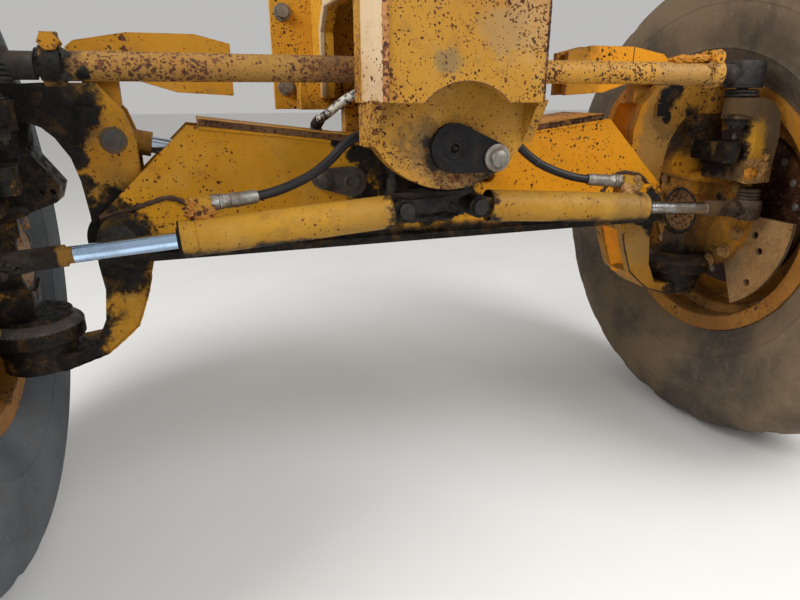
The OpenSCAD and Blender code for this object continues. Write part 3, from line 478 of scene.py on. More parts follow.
addPaint("hookPaint", specks=0.3, edges=0.5, grime=0.8, dust=0.08,
         base=(0.11, 0.07, 0.033), deep=(0.06, 0.04, 0.022), faded=(0.19, 0.115, 0.045),
         grease=[(776, -70, 830, 90), (810, -60, 830, 80), (745, -165, 885, 30), (740, -165, 900, 26),
                 (738, -175, 828, 34), (720, -150, 828, 40)],
         stains=[(775, -205, 872, 30, (0.44, 0.22, 0.02), 0.9), (772, -205, 840, 26, (0.46, 0.23, 0.02), 0.9),
                 (775, -205, 815, 24, (0.42, 0.2, 0.02), 0.85), (820, -205, 880, 40, (0.085, 0.06, 0.038), 0.8),
                 (790, -205, 772, 30, (0.4, 0.2, 0.03), 0.8)])
# the dark band along the barrels' undersides is partly grease, partly painted shade
addPaint("barrelYellow", specks=0.3, edges=0.6, greaseBelow=699, grime=0.5, dust=0.12,
         base=(0.4, 0.205, 0.016), deep=(0.32, 0.15, 0.012), faded=(0.44, 0.27, 0.07),
         grease=[(-78, -185, 745, 44), (78, -185, 745, 44), (-104, -200, 710, 18), (112, -200, 712, 18),
                 (480, -185, 722, 26)],
         stains=[(-150, -200, 735, 60, (0.2, 0.12, 0.04), 0.25), (440, -200, 710, 60, (0.2, 0.11, 0.03), 0.6)])
# the broad brown patch over the left half of the tube is painted shade, and the bright orange patch over the right
# half is painted sunlight
addPaint("tieYellow", specks=0.9, edges=0.5, grime=0.9, dust=0.25, blotches=0.0, fine=0.0036, small=0.0068,
         base=(0.43, 0.21, 0.024), deep=(0.33, 0.145, 0.018), faded=(0.46, 0.29, 0.11),
         rust=(0.06, 0.025, 0.014), freshRust=(0.13, 0.05, 0.022),
         grease=[(-648, -190, 1000, 30), (-640, -190, 1020, 26), (668, -165, 985, 16), (-604, -180, 990, 12)],
         stains=[(-400, -165, 1000, 330, (0.22, 0.12, 0.032), 0.62), (-200, -165, 990, 60, (0.1, 0.05, 0.03), 0.7),
                 (-645, -175, 1005, 50, (0.07, 0.042, 0.022), 0.85), (-645, -190, 1012, 16, (0.3, 0.12, 0.03), 0.6),
                 (420, -165, 1000, 260, (0.6, 0.3, 0.04), 0.7), (560, -180, 980, 80, (0.3, 0.18, 0.08), 0.5)])
addPaint("rimOrange", specks=0.6, edges=0.9, grime=0.9, dust=0.5,
         base=(0.34, 0.135, 0.01), deep=(0.17, 0.065, 0.008), faded=(0.45, 0.24, 0.05), dustTint=(0.22, 0.135, 0.06))
addPaint("hubRed", specks=0.6, edges=0.4, grime=0.6, dust=0.15,
         base=(0.035, 0.009, 0.005), deep=(0.018, 0.006, 0.004), faded=(0.075, 0.024, 0.012),
         dustTint=(0.1, 0.055, 0.03))
# a lit copy of the yoke paint: its bright orange is painted sunlight on the right yoke's web
addPaint("sunlitWebOrange", specks=0.3, edges=0.3, grime=0.2, dust=0.1,
         base=(0.85, 0.29, 0.003), deep=(0.72, 0.23, 0.003), faded=(0.8, 0.36, 0.03))
addPaint("flakingPaint", specks=1.5, edges=0.6, grime=0.5, base=(0.42, 0.19, 0.06), deep=(0.22, 0.08, 0.03),
         faded=(0.55, 0.36, 0.2), rust=(0.06, 0.022, 0.013), freshRust=(0.19, 0.065, 0.024))
addPaint("rustyEdge", specks=1.3, edges=0.5, grime=1.0, dust=0.1,
         base=(0.15, 0.066, 0.024), deep=(0.045, 0.022, 0.013), faded=(0.34, 0.16, 0.05),
         rust=(0.02, 0.01, 0.007), freshRust=(0.09, 0.036, 0.018))
# pale paint for the nose's left corner strip and window frame: painted sunlight, a lit copy of the nose paint
addPaint("sunlitPalePaint", specks=0.35, edges=0.6, grime=0.2, dust=0.4,
         base=(0.56, 0.42, 0.26), deep=(0.48, 0.31, 0.15), faded=(0.6, 0.53, 0.42), dustTint=(0.55, 0.48, 0.37))
addPaint("brightOrange", specks=0.5, edges=0.8, grime=0.3,
         base=(0.62, 0.25, 0.012), deep=(0.48, 0.18, 0.012), faded=(0.6, 0.33, 0.06))
addPaint("rustyCap", specks=1.2, edges=0.4, grime=0.8, dust=0.2, fine=0.0036, small=0.0068,
         base=(0.3, 0.16, 0.05), deep=(0.17, 0.085, 0.03), faded=(0.36, 0.24, 0.1))
addPaint("rustyPort", specks=0.8, edges=0.5, grime=0.7, dust=0.1, blotches=0.0,
         base=(0.4, 0.16, 0.02), deep=(0.14, 0.055, 0.016), faded=(0.45, 0.22, 0.04))

# rows follow each maker's own arguments
otherFinishes = [
    (bareSteel, "retainerGrey", (0.05, 0.046, 0.038), 0.3, 0.7, 0.1, 0.3),
    (bareSteel, "pinSteel", (0.1, 0.098, 0.09), 0.35, 0.6, 0.5, 0.25),
    (bareSteel, "retainerDark", (0.0085, 0.0088, 0.0095), 0.08, 0.6, 0.0, 0.05, 0.14),
    (bareSteel, "zincSteel", (0.33, 0.33, 0.31), 0.45, 0.45, 0.8),
    (bareSteel, "rustWeld", (0.16, 0.07, 0.035), 0.6, 0.85, 0.0),
    (bareSteel, "darkRust", (0.05, 0.026, 0.016), 0.4, 0.85, 0.0),
    (bareSteel, "boltSteel", (0.3, 0.285, 0.25), 0.55, 0.5, 0.7),
    # the blue chrome tints of the left and lean rods are a painted sky reflection
    (chromedRod, "leftRodChrome", (-300, -185, 729), (-660, -185, 704),
     (0.01, 0.008, 0.006), (0.24, 0.12, 0.02), 20, (0.5, 0.68, 0.92)),
    (chromedRod, "rightRodChrome", (300, -185, 729), (669, -185, 704.5),
     (0.035, 0.02, 0.011), (0.1, 0.055, 0.026), 30, (0.84, 0.88, 0.92)),
    (chromedRod, "leanRodChrome", (-300, 0, 820), (-527, 0, 866.5),
     (0.12, 0.06, 0.016), (0.34, 0.16, 0.018), 30, (0.6, 0.7, 0.84)),
    (blackGrease, "anchorGrease", (0.007, 0.0062, 0.0056), 0.2),
    (blackGrease, "ballGrease", (0.012, 0.0105, 0.0095), 0.35),
    (blackGrease, "bootRubber", (0.0105, 0.0105, 0.011), 0.25),
    (blackGrease, "castDirt", (0.24, 0.125, 0.035), 0.3),
    (blackGrease, "sealGrease", (0.045, 0.043, 0.041), 0.3),
    (blackGrease, "brownGrease", (0.03, 0.018, 0.01), 0.2),
    (blackGrease, "eyeGrease", (0.009, 0.0075, 0.006), 0.1),
    (hoseRubber, "hoseBlack", 0.6, (0.09, 0.087, 0.083)),
    (hoseRubber, "wornHose", 0.47, (0.6, 0.56, 0.48)),
    (tyreRubber, "tyreSkin", (0.05, 0.039, 0.029), (0.15, 0.104, 0.06), 0.55),
    # the left tyre's blue-grey skin is painted sky-lit shade, a shaded copy of tyreSkin
    (tyreRubber, "leftTyreSkin", (0.052, 0.064, 0.076), (0.09, 0.102, 0.114), 0.25),
]
for maker, name, *row in otherFinishes:
    finishes[name] = maker(name, *row)

# which of the carried-over nodes each finish goes on
nodeFinishes = {
    "noseYellow": "nose_box", "retainerDark": "pivot_pin pivot_retainer", "beamYellow": "axle_beam",
    "anchorGrease": "cylinder_anchor lean_pin_left lean_pin_right", "retainerGrey": "lean_base_pin",
    "leftYokePaint": "yoke_left", "rightYokePaint": "yoke_right", "machineYellow": "lean_bar",
    "pinSteel": "kingpins_right bar_pin_left bar_pin_right",
    "ballGrease": "kingpins_left tie_rod_end_left tie_rod_end_right",
    "barrelYellow": "lean_barrel steer_barrel_left steer_barrel_right", "leanRodChrome": "lean_rod",
    "leftRodChrome": "steer_rod_left", "rightRodChrome": "steer_rod_right", "hookPaint": "steering_arm_right",
    "leftSpindlePaint": "spindle_left steering_arm_left", "rightSpindlePaint": "spindle_right",
    "bootRubber": "tie_boot_left", "tieYellow": "tie_rod_tube", "hubRed": "hub_left hub_right",
    "rimOrange": "rim_left rim_right", "tyreSkin": "tyre_left tyre_right",
    "hoseBlack": "hose_left hose_right hose_lean",
}
for finish, nodes in nodeFinishes.items():
    for node in nodes.split():
        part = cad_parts[node]
        if not part.material_slots:
            part.data.materials.append(finishes[finish])
        for holder in part.material_slots:
            holder.material = finishes[finish]
print("materials on the nodes")


# mesh helpers: a shape is drawn in the machine's millimetres, and asMesh turns it into metres
def basisOf(direction):
    along = Vector(direction).normalized()
    side = along.cross(Vector((0, 0, 1)) if abs(along.z) < 0.9 else Vector((0, 1, 0))).normalized()
    return along, side, along.cross(side)


def addRing(shape, centre, radius, side, third, steps):
    turns = (2 * math.pi * k / steps for k in range(steps))
    return [shape.verts.new(centre + radius * (math.cos(a) * side + math.sin(a) * third)) for a in turns]


def bridge(shape, rings, closed=False):
    # skins a row of rings; a ring of one vertex is a point
    for low, high in list(zip(rings, rings[1:])) + ([(rings[-1], rings[0])] if closed else []):
        steps = max(len(low), len(high))
        for k in range(steps):
            n = (k + 1) % steps
            corners = [low[0]] if len(low) == 1 else [low[k], low[n]]
            corners += [high[0]] if len(high) == 1 else [high[n], high[k]]
            if len(corners) > 2:
                shape.faces.new(corners)


def addLathe(shape, profile, start, direction, steps=32, closed=False):
    # profile: pairs of distance along the axis and radius; radius 0 closes an end
    along, side, third = basisOf(direction)
    rings = []
    for distance, radius in profile:
        centre = Vector(start) + along * distance
        rings.append(addRing(shape, centre, radius, side, third, steps) if radius else [shape.verts.new(centre)])
    bridge(shape, rings, closed)


def addBlock(shape, low, high, chamfer, turn=None):
    low, high = [Vector(pick(a, b) for a, b in zip(low, high)) for pick in (min, max)]
    centre = (low + high) / 2
    place = Matrix.Translation(centre) @ Matrix.Diagonal((*(high - low), 1))
    made = bmesh.ops.create_cube(shape, size=1.0, matrix=place)
    edges = list({e for v in made["verts"] for e in v.link_edges})
    made = bmesh.ops.bevel(shape, geom=edges, offset=chamfer, segments=2, affect="EDGES", profile=0.6)
    if turn is not None:
        bmesh.ops.rotate(shape, verts=list(set(made["verts"])), cent=centre, matrix=turn)


def facingFront(u, v, depth):
    return u, depth, v


def addPlate(shape, outline, low, high, lay=facingFront, chamfer=1.5):
    # outline: corners in the plate's own plane; lay puts (u, v, depth) in the machine
    bottom, top = [[shape.verts.new(lay(u, v, depth)) for u, v in outline] for depth in (low, high)]
    faces = [shape.faces.new(bottom), shape.faces.new(top[::-1])]
    count = len(outline)
    for k in range(count):
        shape.faces.new((bottom[k], top[k], top[(k + 1) % count], bottom[(k + 1) % count]))
    rim = list({e for f in faces for e in f.edges})
    bmesh.ops.bevel(shape, geom=rim, offset=chamfer, segments=2, affect="EDGES", profile=0.6)


def addTube(shape, path, radii, sides):
    path = [Vector(p) for p in path]
    rings = []
    third = None
    for i, (place, radius) in enumerate(zip(path, radii)):
        along = (path[min(i + 1, len(path) - 1)] - path[max(i - 1, 0)]).normalized()
        if third is None:
            _, side, third = basisOf(along)
        side = third.cross(along).normalized() if third.cross(along).length > 1e-6 else side
        third = along.cross(side)
        rings.append(addRing(shape, place, radius, side, third, sides))
    bridge(shape, rings)
    shape.faces.new(rings[0][::-1])
    shape.faces.new(rings[-1])


def addCrust(shape, centre, radii, seed, rough=0.35, fineness=4):
    # a lump of dried dirt: a ball pushed in and out by noise
    made = bmesh.ops.create_icosphere(shape, subdivisions=fineness, radius=1.0)
    for vert in made["verts"]:
        swell = noise.fractal(vert.co * 1.7 + Vector((seed * 3.1, seed, 0)), 0.6, 2.2, 5) * rough
        out = vert.co.normalized() * (1 + swell)
        vert.co = Vector(centre) + Vector((out.x * radii[0], out.y * radii[1], out.z * radii[2]))


def addHex(shape, place, direction, across, height, washer=0.0, spin=0.0):
    # a hexagon head with a turned chamfer, on a washer when one is asked for
    along, side, third = basisOf(direction)
    corner, steps = across / math.sqrt(3), 24
    base = Vector(place)
    if washer:
        edge = [(0, 0), (0, washer - 0.8), (0.8, washer), (3.2, washer), (4, washer - 0.8), (4, 0)]
        addLathe(shape, edge, place, direction, 28)
        base = base + along * 3.8
    rings = []
    for lift, reach in ((0, 0), (0, 1), (height * 0.8, 1), (height, 0.84), (height, 0)):
        centre = base + along * lift
        if reach == 0:
            rings.append([shape.verts.new(centre)])
            continue
        ring = []
        for a in (spin + 2 * math.pi * k / steps for k in range(steps)):
            flatReach = across / 2 / math.cos((a - spin) % (math.pi / 3) - math.pi / 6)
            radius = flatReach if reach == 1 else min(flatReach, corner * reach)
            ring.append(shape.verts.new(centre + radius * (math.cos(a) * side + math.sin(a) * third)))
        rings.append(ring)
    bridge(shape, rings)


def asMesh(name, shape, finish, toPlace=atMount, smooth=38):
    bmesh.ops.recalc_face_normals(shape, faces=shape.faces)
    for vert in shape.verts:
        vert.co = toPlace(*vert.co)
    mesh = bpy.data.meshes.new(name)
    shape.to_mesh(mesh)
    shape.free()
    mesh.materials.append(finishes[finish])
    mesh.shade_smooth()
    mesh.set_sharp_from_angle(angle=math.radians(smooth))
    return mesh


def placePiece(name, data, body, replaces=None):
    piece = bpy.data.objects.new(name, data)
    bpy.context.collection.objects.link(piece)
    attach(piece, body)
    if replaces:
        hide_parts(*replaces)
    return piece


def finishPiece(name, shape, body, slot, finish, smooth=38, replaces=None):
    return placePiece(name, asMesh(name, shape, finish, smooth=smooth), body, replaces)


def makePiece(name, body, slot, finish, *strokes, **options):
    # strokes: a drawing function, then what it takes after the shape
    shape = bmesh.new()
    for draw, *values in strokes:
        draw(shape, *values)
    return finishPiece(name, shape, body, slot, finish, **options)


# Geometry Nodes: what both trees below begin and end with, and how a tree's result is kept
def startTree(name, **inputs):
    tree = bpy.data.node_groups.new(name, "GeometryNodeTree")
    for label, kind in {"Geometry": "Geometry", **inputs}.items():
        tree.interface.new_socket(label, in_out="INPUT", socket_type="NodeSocket" + kind)
    tree.interface.new_socket("Geometry", in_out="OUTPUT", socket_type="NodeSocketGeometry")
    return tree, tree.nodes.new("NodeGroupInput").outputs


def endTree(tree, start, geometry):
    solid = addNode(tree, "GeometryNodeRealizeInstances", Geometry=geometry).outputs[0]
    coat = addNode(tree, "GeometryNodeSetMaterial", Geometry=solid, Material=start["Finish"])
    tree.links.new(coat.outputs[0], tree.nodes.new("NodeGroupOutput").inputs[0])
    return tree


def runTree(name, data, tree, values):
    holder = bpy.data.objects.new(name + "Holder", data)
    bpy.context.collection.objects.link(holder)
    modifier = holder.modifiers.new(name, "NODES")
    modifier.node_group = tree
    for item in tree.interface.items_tree:
        if item.item_type == "SOCKET" and item.in_out == "INPUT" and item.name in values:
            modifier[item.identifier] = values[item.name]
    bpy.context.view_layer.update()
    made = bpy.data.meshes.new_from_object(holder.evaluated_get(bpy.context.evaluated_depsgraph_get()))
    made.name = name
    bpy.data.objects.remove(holder)
    return made


# sets one shape on every point of a table, turned to the point's own directions
def makeSetterTree():
    tree, start = startTree("setShapeOnPoints", Shape="Object", Finish="Material", Spin="Float", Seed="Int")
    shape = addNode(tree, "GeometryNodeObjectInfo", Object=start["Shape"]).outputs["Geometry"]
    named = {}
    for label, kind in (("facing", "FLOAT_VECTOR"), ("along", "FLOAT_VECTOR"), ("size", "FLOAT")):
        reader = addNode(tree, "GeometryNodeInputNamedAttribute", {"data_type": kind}, Name=label)
        named[label] = reader.outputs["Attribute"]
    outward = addNode(tree, "FunctionNodeAlignRotationToVector", {"axis": "Z"}, Vector=named["facing"]).outputs[0]
    sideways = addNode(tree, "FunctionNodeAlignRotationToVector", {"axis": "X", "pivot_axis": "Z"},
                       Rotation=outward, Vector=named["along"]).outputs[0]
    place = addNode(tree, "GeometryNodeInstanceOnPoints", Points=start["Geometry"], Instance=shape,
                    Rotation=sideways, Scale=named["size"]).outputs[0]
    chance = addNode(tree, "FunctionNodeRandomValue", Seed=start["Seed"])
    setPlug(tree, chance.inputs[3], start["Spin"])
    turn = addNode(tree, "ShaderNodeCombineXYZ", Z=chance.outputs[1]).outputs[0]
    turned = addNode(tree, "GeometryNodeRotateInstances", Instances=place, Rotation=turn, Local_Space=True)
    return endTree(tree, start, turned.outputs[0])


# a weld bead along a path, rippled and a little uneven
def makeBeadTree():
    tree, start = startTree("weldBead", Radius="Float", Ripple="Float", Finish="Material", Seed="Int")
    fine = addNode(tree, "GeometryNodeResampleCurve", {"mode": "LENGTH"}, Curve=start["Geometry"],
                   Length=start["Ripple"])
    wave = calc(tree, "PINGPONG", tree.nodes.new("GeometryNodeInputIndex").outputs[0], 2.0)
    chance = addNode(tree, "FunctionNodeRandomValue", Seed=start["Seed"])
    for place, value in ((2, -0.16), (3, 0.16)):
        setPlug(tree, chance.inputs[place], value)
    swell = calc(tree, "ADD", calc(tree, "MULTIPLY_ADD", wave, 0.12, 0.8), chance.outputs[1])
    radius = times(tree, swell, start["Radius"])
    thick = addNode(tree, "GeometryNodeSetCurveRadius", Curve=fine.outputs[0], Radius=radius).outputs[0]
    ring = addNode(tree, "GeometryNodeCurvePrimitiveCircle", Resolution=8, Radius=1.0).outputs[0]
    skin = addNode(tree, "GeometryNodeCurveToMesh", Curve=thick, Profile_Curve=ring, Fill_Caps=True)
    if "Scale" in skin.inputs:
        setPlug(tree, skin.inputs["Scale"], radius)
    return endTree(tree, start, skin.outputs[0])


setterTree, beadTree = makeSetterTree(), makeBeadTree()


def setOnPoints(name, draw, table, body, finish, seed):
    # draw makes the shape in millimetres round its own origin, its Z facing out and its X lying along
    # table rows: place, facing
    shape = bmesh.new()
    draw(shape)
    pattern = asMesh(name + "Pattern", shape, finish, lambda x, y, z: (x / 1000, y / 1000, z / 1000))
    master = bpy.data.objects.new(name + "Pattern", pattern)
    bpy.context.collection.objects.link(master)
    mesh = bpy.data.meshes.new(name + "Points")
    mesh.from_pydata([atMount(*place) for place, _ in table], [], [])
    up = (1, 0, 0) if body == "frame" else toTop
    for label, kind, field, values in (("facing", "FLOAT_VECTOR", "vector", [facing for _, facing in table]),
                                       ("along", "FLOAT_VECTOR", "vector", [up] * len(table)),
                                       ("size", "FLOAT", "value", [1.0] * len(table))):
        for item, value in zip(mesh.attributes.new(label, kind, "POINT").data, values):
            setattr(item, field, value)
    made = runTree(name, mesh, setterTree, {"Shape": master, "Finish": finishes[finish], "Spin": 6.28, "Seed": seed})
    bpy.data.objects.remove(master)
    placePiece(name, made, body)


def addSpline(curve, route):
    spline = curve.splines.new("POLY")
    spline.points.add(len(route) - 1)
    for point, place in zip(spline.points, route):
        point.co = (*place, 1)


def layBeads(name, paths, radius, body, finish, ripple, seed):
    curve = bpy.data.curves.new(name + "Paths", "CURVE")
    curve.dimensions = "3D"
    for path in paths:
        addSpline(curve, [atMount(*place) for place in path])
    made = runTree(name, curve, beadTree,
                   {"Radius": radius / 1000, "Ripple": ripple / 1000, "Finish": finishes[finish], "Seed": seed})
    made.shade_smooth()
    placePiece(name, made, body)


# hoses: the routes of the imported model, smoothed
hoseRoutes = {
    "hose_right": [
        (398.8, -172, 778.92), (384.9, -172, 779.88), (352, -166, 783), (318, -160, 789), (280, -154, 801),
        (242, -148, 818), (208, -143, 842), (182, -140, 866), (160, -138, 880), (138, -135, 882), (118, -130, 870),
        (102, -123, 849), (90, -118, 828), (81, -115, 813), (78, -115, 806), (78, -115, 800.3)],
    "hose_lean": [
        (-197.5, 10, 870.57), (-203.1, 10, 880.87), (-206, 5, 896), (-199, -12, 909), (-184, -30, 922),
        (-164, -44, 940), (-142, -54, 954), (-118, -60, 964), (-90, -62, 970), (-64, -62, 970), (-44, -62, 964),
        (-33, -62, 955), (-30, -62, 949), (-30, -62, 940.3)],
}
hoseRoutes["hose_left"] = [(-x, y, z) for x, y, z in hoseRoutes["hose_right"]]
# node, body, finish
hoseRows = [("hose_left", "steer_cylinder_l", "hoseBlack"), ("hose_right", "steer_cylinder_r", "hoseBlack"),
            ("hose_lean", "axle", "wornHose")]
hoseRadius = 9


def smoothRoute(points, steps=4):
    route = []
    for i in range(len(points) - 1):
        before, start, end, after = (points[max(i - 1, 0)], points[i], points[i + 1],
                                     points[min(i + 2, len(points) - 1)])
        for k in range(steps):
            t = k / steps
            route.append(0.5 * (2 * start + (end - before) * t + (2 * before - 5 * start + 4 * end - after) * t * t
                                + (3 * start - before - 3 * end + after) * t ** 3))
    return route + [points[-1]]


def makeHose(node, body, finish):
    route = smoothRoute([atMount(*p) for p in hoseRoutes[node]])
    curve = bpy.data.curves.new(node + "Hose", "CURVE")
    curve.dimensions = "3D"
    curve.bevel_depth = hoseRadius / 1000
    curve.bevel_resolution = 5
    curve.use_fill_caps = True
    addSpline(curve, route)
    curve.materials.append(finishes[finish])
    hose = placePiece(node + "Hose", curve, body, [node])


for row in hoseRows:
    makeHose(*row)

# tyres: worn lugs on a smooth carcass, two thin rings on each sidewall
tyreShape = {
    "steps": 432, "lugs": 24, "lugDepth": 9.0, "lugShare": 0.6, "sweep": 1.15, "lugFrom": 578, "lugEdge": 0.07,
    # distance from the tyre's middle plane, radius
    "skin": [(-110.7, 305.3), (-110.7, 322), (-111, 337.5), (-114, 344), (-121, 351), (-129, 362), (-139, 375),
             (-149, 389), (-154.5, 400), (-157, 404), (-160, 407), (-158.5, 411), (-160, 420), (-163, 440),
             (-165, 462), (-165.8, 478), (-165.8, 492), (-164.8, 506), (-164.2, 509), (-166, 511.5), (-163.6, 515),
             (-162, 528), (-158.5, 548), (-153, 568), (-145.5, 583), (-137, 594), (-128, 601.5), (-118, 607),
             (-106, 612), (-92, 616), (-76, 620), (-58, 624), (-40, 627.3), (-20, 629.2), (0, 629.8)],
    "lining": [(-77, 305.3), (-110, 367), (-134, 490), (-120, 560), (-60, 588), (0, 594)],
}


def ramp(value, low, width):
    return min(1, max(0, (value - low) / width))


def lugGroove(x, radius, turn):
    # a groove runs out to the shoulder and ends in its round
    facts = tyreShape
    phase = turn * facts["lugs"] / (2 * math.pi) + (0.25 if x < 0 else 0.0) + facts["sweep"] * (abs(x) / 150) ** 1.3
    phase %= 1
    opened = ramp(phase, facts["lugShare"], facts["lugEdge"]) * min(1, max(0, (1 - phase) / facts["lugEdge"]))
    within = ramp(abs(x), 20, 16) * ramp(radius, facts["lugFrom"], 14)
    worn = 0.8 + 0.35 * noise.noise(Vector((math.cos(turn) * 3, math.sin(turn) * 3, x / 90)))
    return facts["lugDepth"] * opened * within * worn


def makeTyre(side):
    facts = tyreShape
    outer = facts["skin"] + [(-x, r) for x, r in facts["skin"][-2::-1]]
    inner = facts["lining"] + [(-x, r) for x, r in facts["lining"][-2::-1]]
    shape = bmesh.new()
    rings = []
    for k in range(facts["steps"]):
        turn = 2 * math.pi * k / facts["steps"]
        ring = []
        for i, (x, radius) in enumerate(outer + inner[::-1]):
            if i < len(outer) and radius > facts["lugFrom"]:
                radius -= lugGroove(x, radius, turn)
            ring.append(shape.verts.new((side * (wheelCentre["x"] + x), radius * math.cos(turn),
                                         wheelCentre["z"] + radius * math.sin(turn))))
        rings.append(ring)
    bridge(shape, rings, closed=True)
    word, letter = sideNames[side]
    # the left tyre takes a blue-grey skin that is painted sky-lit shade
    finishPiece(word + "Tyre", shape, "wheel_" + letter, "tyre_rubber", "tyreSkin" if side > 0 else "leftTyreSkin",
                smooth=50, replaces=["tyre_" + word])


# rims: the pressed band with rounded flanges, and the disc that the nuts hold
rimShape = {
    "start": 860, "weldX": (142.0, 158.6), "weldRadius": 271,
    # distance from the rim's inner edge, radius: round the whole section
    "band": [(1, 304), (0.4, 309), (0.3, 322), (0.2, 331), (1.2, 335.2), (3.4, 336.8), (6, 336.7), (8.2, 335),
             (9, 331), (9.1, 322), (9.4, 311), (11.5, 306.2), (15, 305), (40, 304.8), (69, 304.9), (75, 299),
             (80, 285), (86, 281), (100, 281), (176, 281), (182, 284), (187, 300), (191, 304.9), (210, 305),
             (226, 305), (229.6, 307), (231, 312), (231.2, 331), (232, 335), (234.4, 336.7), (237, 336.7),
             (239.2, 335), (239.9, 331), (239.9, 300), (238, 296.2), (230, 296), (196, 296), (192, 293.5), (188, 280),
             (184, 272.5), (178, 272), (90, 272), (82, 272.3), (77, 275), (71, 290), (66, 295.6), (30, 296), (8, 296),
             (3, 298)],
    "disc": [(116.3, 102), (116.3, 224), (119, 229), (136, 249), (141, 254), (142.3, 260), (142.3, 272.4),
             (158.3, 272.4), (158.3, 258), (154, 250), (134.5, 226), (132.3, 220), (132.3, 102)],
}


def aroundHub(x, radius, turns):
    return [(x, radius * math.cos(a), wheelCentre["z"] + radius * math.sin(a)) for a in turns]


def makeRim(side):
    word, letter = sideNames[side]
    start, outward = (side * rimShape["start"], 0, wheelCentre["z"]), (side, 0, 0)
    makePiece(word + "Rim", "wheel_" + letter, "orange_rim", "rimOrange",
              (addLathe, rimShape["band"], start, outward, 144, True),
              (addLathe, rimShape["disc"], start, outward, 96, True), smooth=32, replaces=["rim_" + word])
    turns = [math.pi * k / 48 for k in range(97)]
    rings = [aroundHub(side * (rimShape["start"] + x), rimShape["weldRadius"], turns) for x in rimShape["weldX"]]
    layBeads(word + "RimWeld", rings, 4.5, "wheel_" + letter, "rimOrange", 5.0, 4 + side)


# wheel studs and nuts, in one circle each side
wheelStuds = {
    "count": 20, "radius": 190, "firstAngle": 134.8, "innerX": 960, "outerX": 992.3, "nutAcross": 32,
    "head": [(-2, 0), (-2, 9.5), (1.5, 9.5), (1.5, 8), (3.2, 7.2), (4, 5), (4, 0)],
    "studEnd": [(24, 0), (24, 10), (35, 10), (37, 8.4), (37, 0)],
}


def drawStudHead(shape):
    addLathe(shape, wheelStuds["head"], (0, 0, 0), toTop, 14)


def drawWheelNut(shape):
    addHex(shape, (0, 0, 0), toTop, wheelStuds["nutAcross"], 22, washer=21)
    addLathe(shape, wheelStuds["studEnd"], (0, 0, 0), toTop, 16)


def makeStuds(side):
    word, letter = sideNames[side]
    count = wheelStuds["count"]
    turns = [math.radians(wheelStuds["firstAngle"] + 360 / count * k) for k in range(count)]
    for name, draw, x, way, slot, finish, seed in (
            ("StudHeads", drawStudHead, wheelStuds["innerX"], -side, "rust_red_paint", "boltSteel", 3),
            ("WheelNuts", drawWheelNut, wheelStuds["outerX"], side, "orange_rim", "rustWeld", 5)):
        table = [(place, (way, 0, 0)) for place in aroundHub(side * x, wheelStuds["radius"], turns)]
        setOnPoints(word + name, draw, table, "wheel_" + letter, finish, seed)


for side in (-1, 1):
    makeTyre(side)
    makeRim(side)
    makeStuds(side)
print("wheels dressed")


# nose: retainer bolt, grease nipple, rusty corner welds, window frame and frame bolts
noseTrim = {
    "retainerBolt": (86, -259, 845), "nipple": (0, -249, 864), "weldX": 147.5, "weldY": -299.5, "weldZ": (945, 1299),
    "archRadius": 109, "archZ": 871, "archY": -298.5, "archHalf": 47, "frameBoltY": 170,
    "boltHead": [(-10, 18), (-10, 24), (-9, 25.6), (-6.4, 26), (-4.6, 25.4), (-4, 24), (-4, 17.4), (1.5, 17.4),
                 (5.5, 16), (8, 12.5), (9.2, 7), (9.5, 0)],
    "collar": [(-13, 12.5), (-13, 20.5), (-11.5, 21.5), (0.2, 21.5), (1.3, 20), (1.3, 17), (0.3, 15), (-4, 12.5)],
    "tip": [(-4, 0), (-4, 3.4), (1, 3.0), (2.4, 3.9), (4.6, 3.9), (6, 2.2), (6.4, 0)],
    # y, z, and the way into the plate
    "window": [(45, 952, 1, 0), (45, 1080, 0.92, 0.38), (3, 1122, 0.38, 0.92), (-132, 1122, 0, 1),
               (-194, 1122, 0, 1)],
    "windowSection": [(171, -1), (178.5, -1), (180, 0.8), (180, 15), (178.5, 17), (171, 17)],
    "bevelStrip": [(4, 946), (64, 946), (64, 1298), (4, 1298)],
    "frameBolts": [(-236, 1127), (236, 1127), (-236, 973), (236, 973)],
}


def makeNoseSide(side):
    # flat bar round the window's edge, and the pale strip on the bevelled corner; on the left both take pale paint
    # that is painted sunlight
    word = sideNames[side][0]
    shape = bmesh.new()
    rows = [[shape.verts.new((side * depth, y + inY * away, z + inZ * away))
             for depth, away in noseTrim["windowSection"]]
            for y, z, inY, inZ in noseTrim["window"]]
    bridge(shape, rows)
    for cap in (rows[0], rows[-1]):
        shape.faces.new(cap)
    finishPiece(word + "WindowFrame", shape, "frame", "yellow_paint",
                "sunlitPalePaint" if side < 0 else "machineYellow", smooth=28)

    def onBevel(u, v, depth):
        return side * (149 + 23 * u / 66 + depth * 0.94), -300 + 62 * u / 66 - depth * 0.35, v

    makePiece(word + "CornerStrip", "frame", "yellow_paint", "sunlitPalePaint" if side < 0 else "noseYellow",
              (addPlate, noseTrim["bevelStrip"], -2, 1.2, onBevel, 0.6))


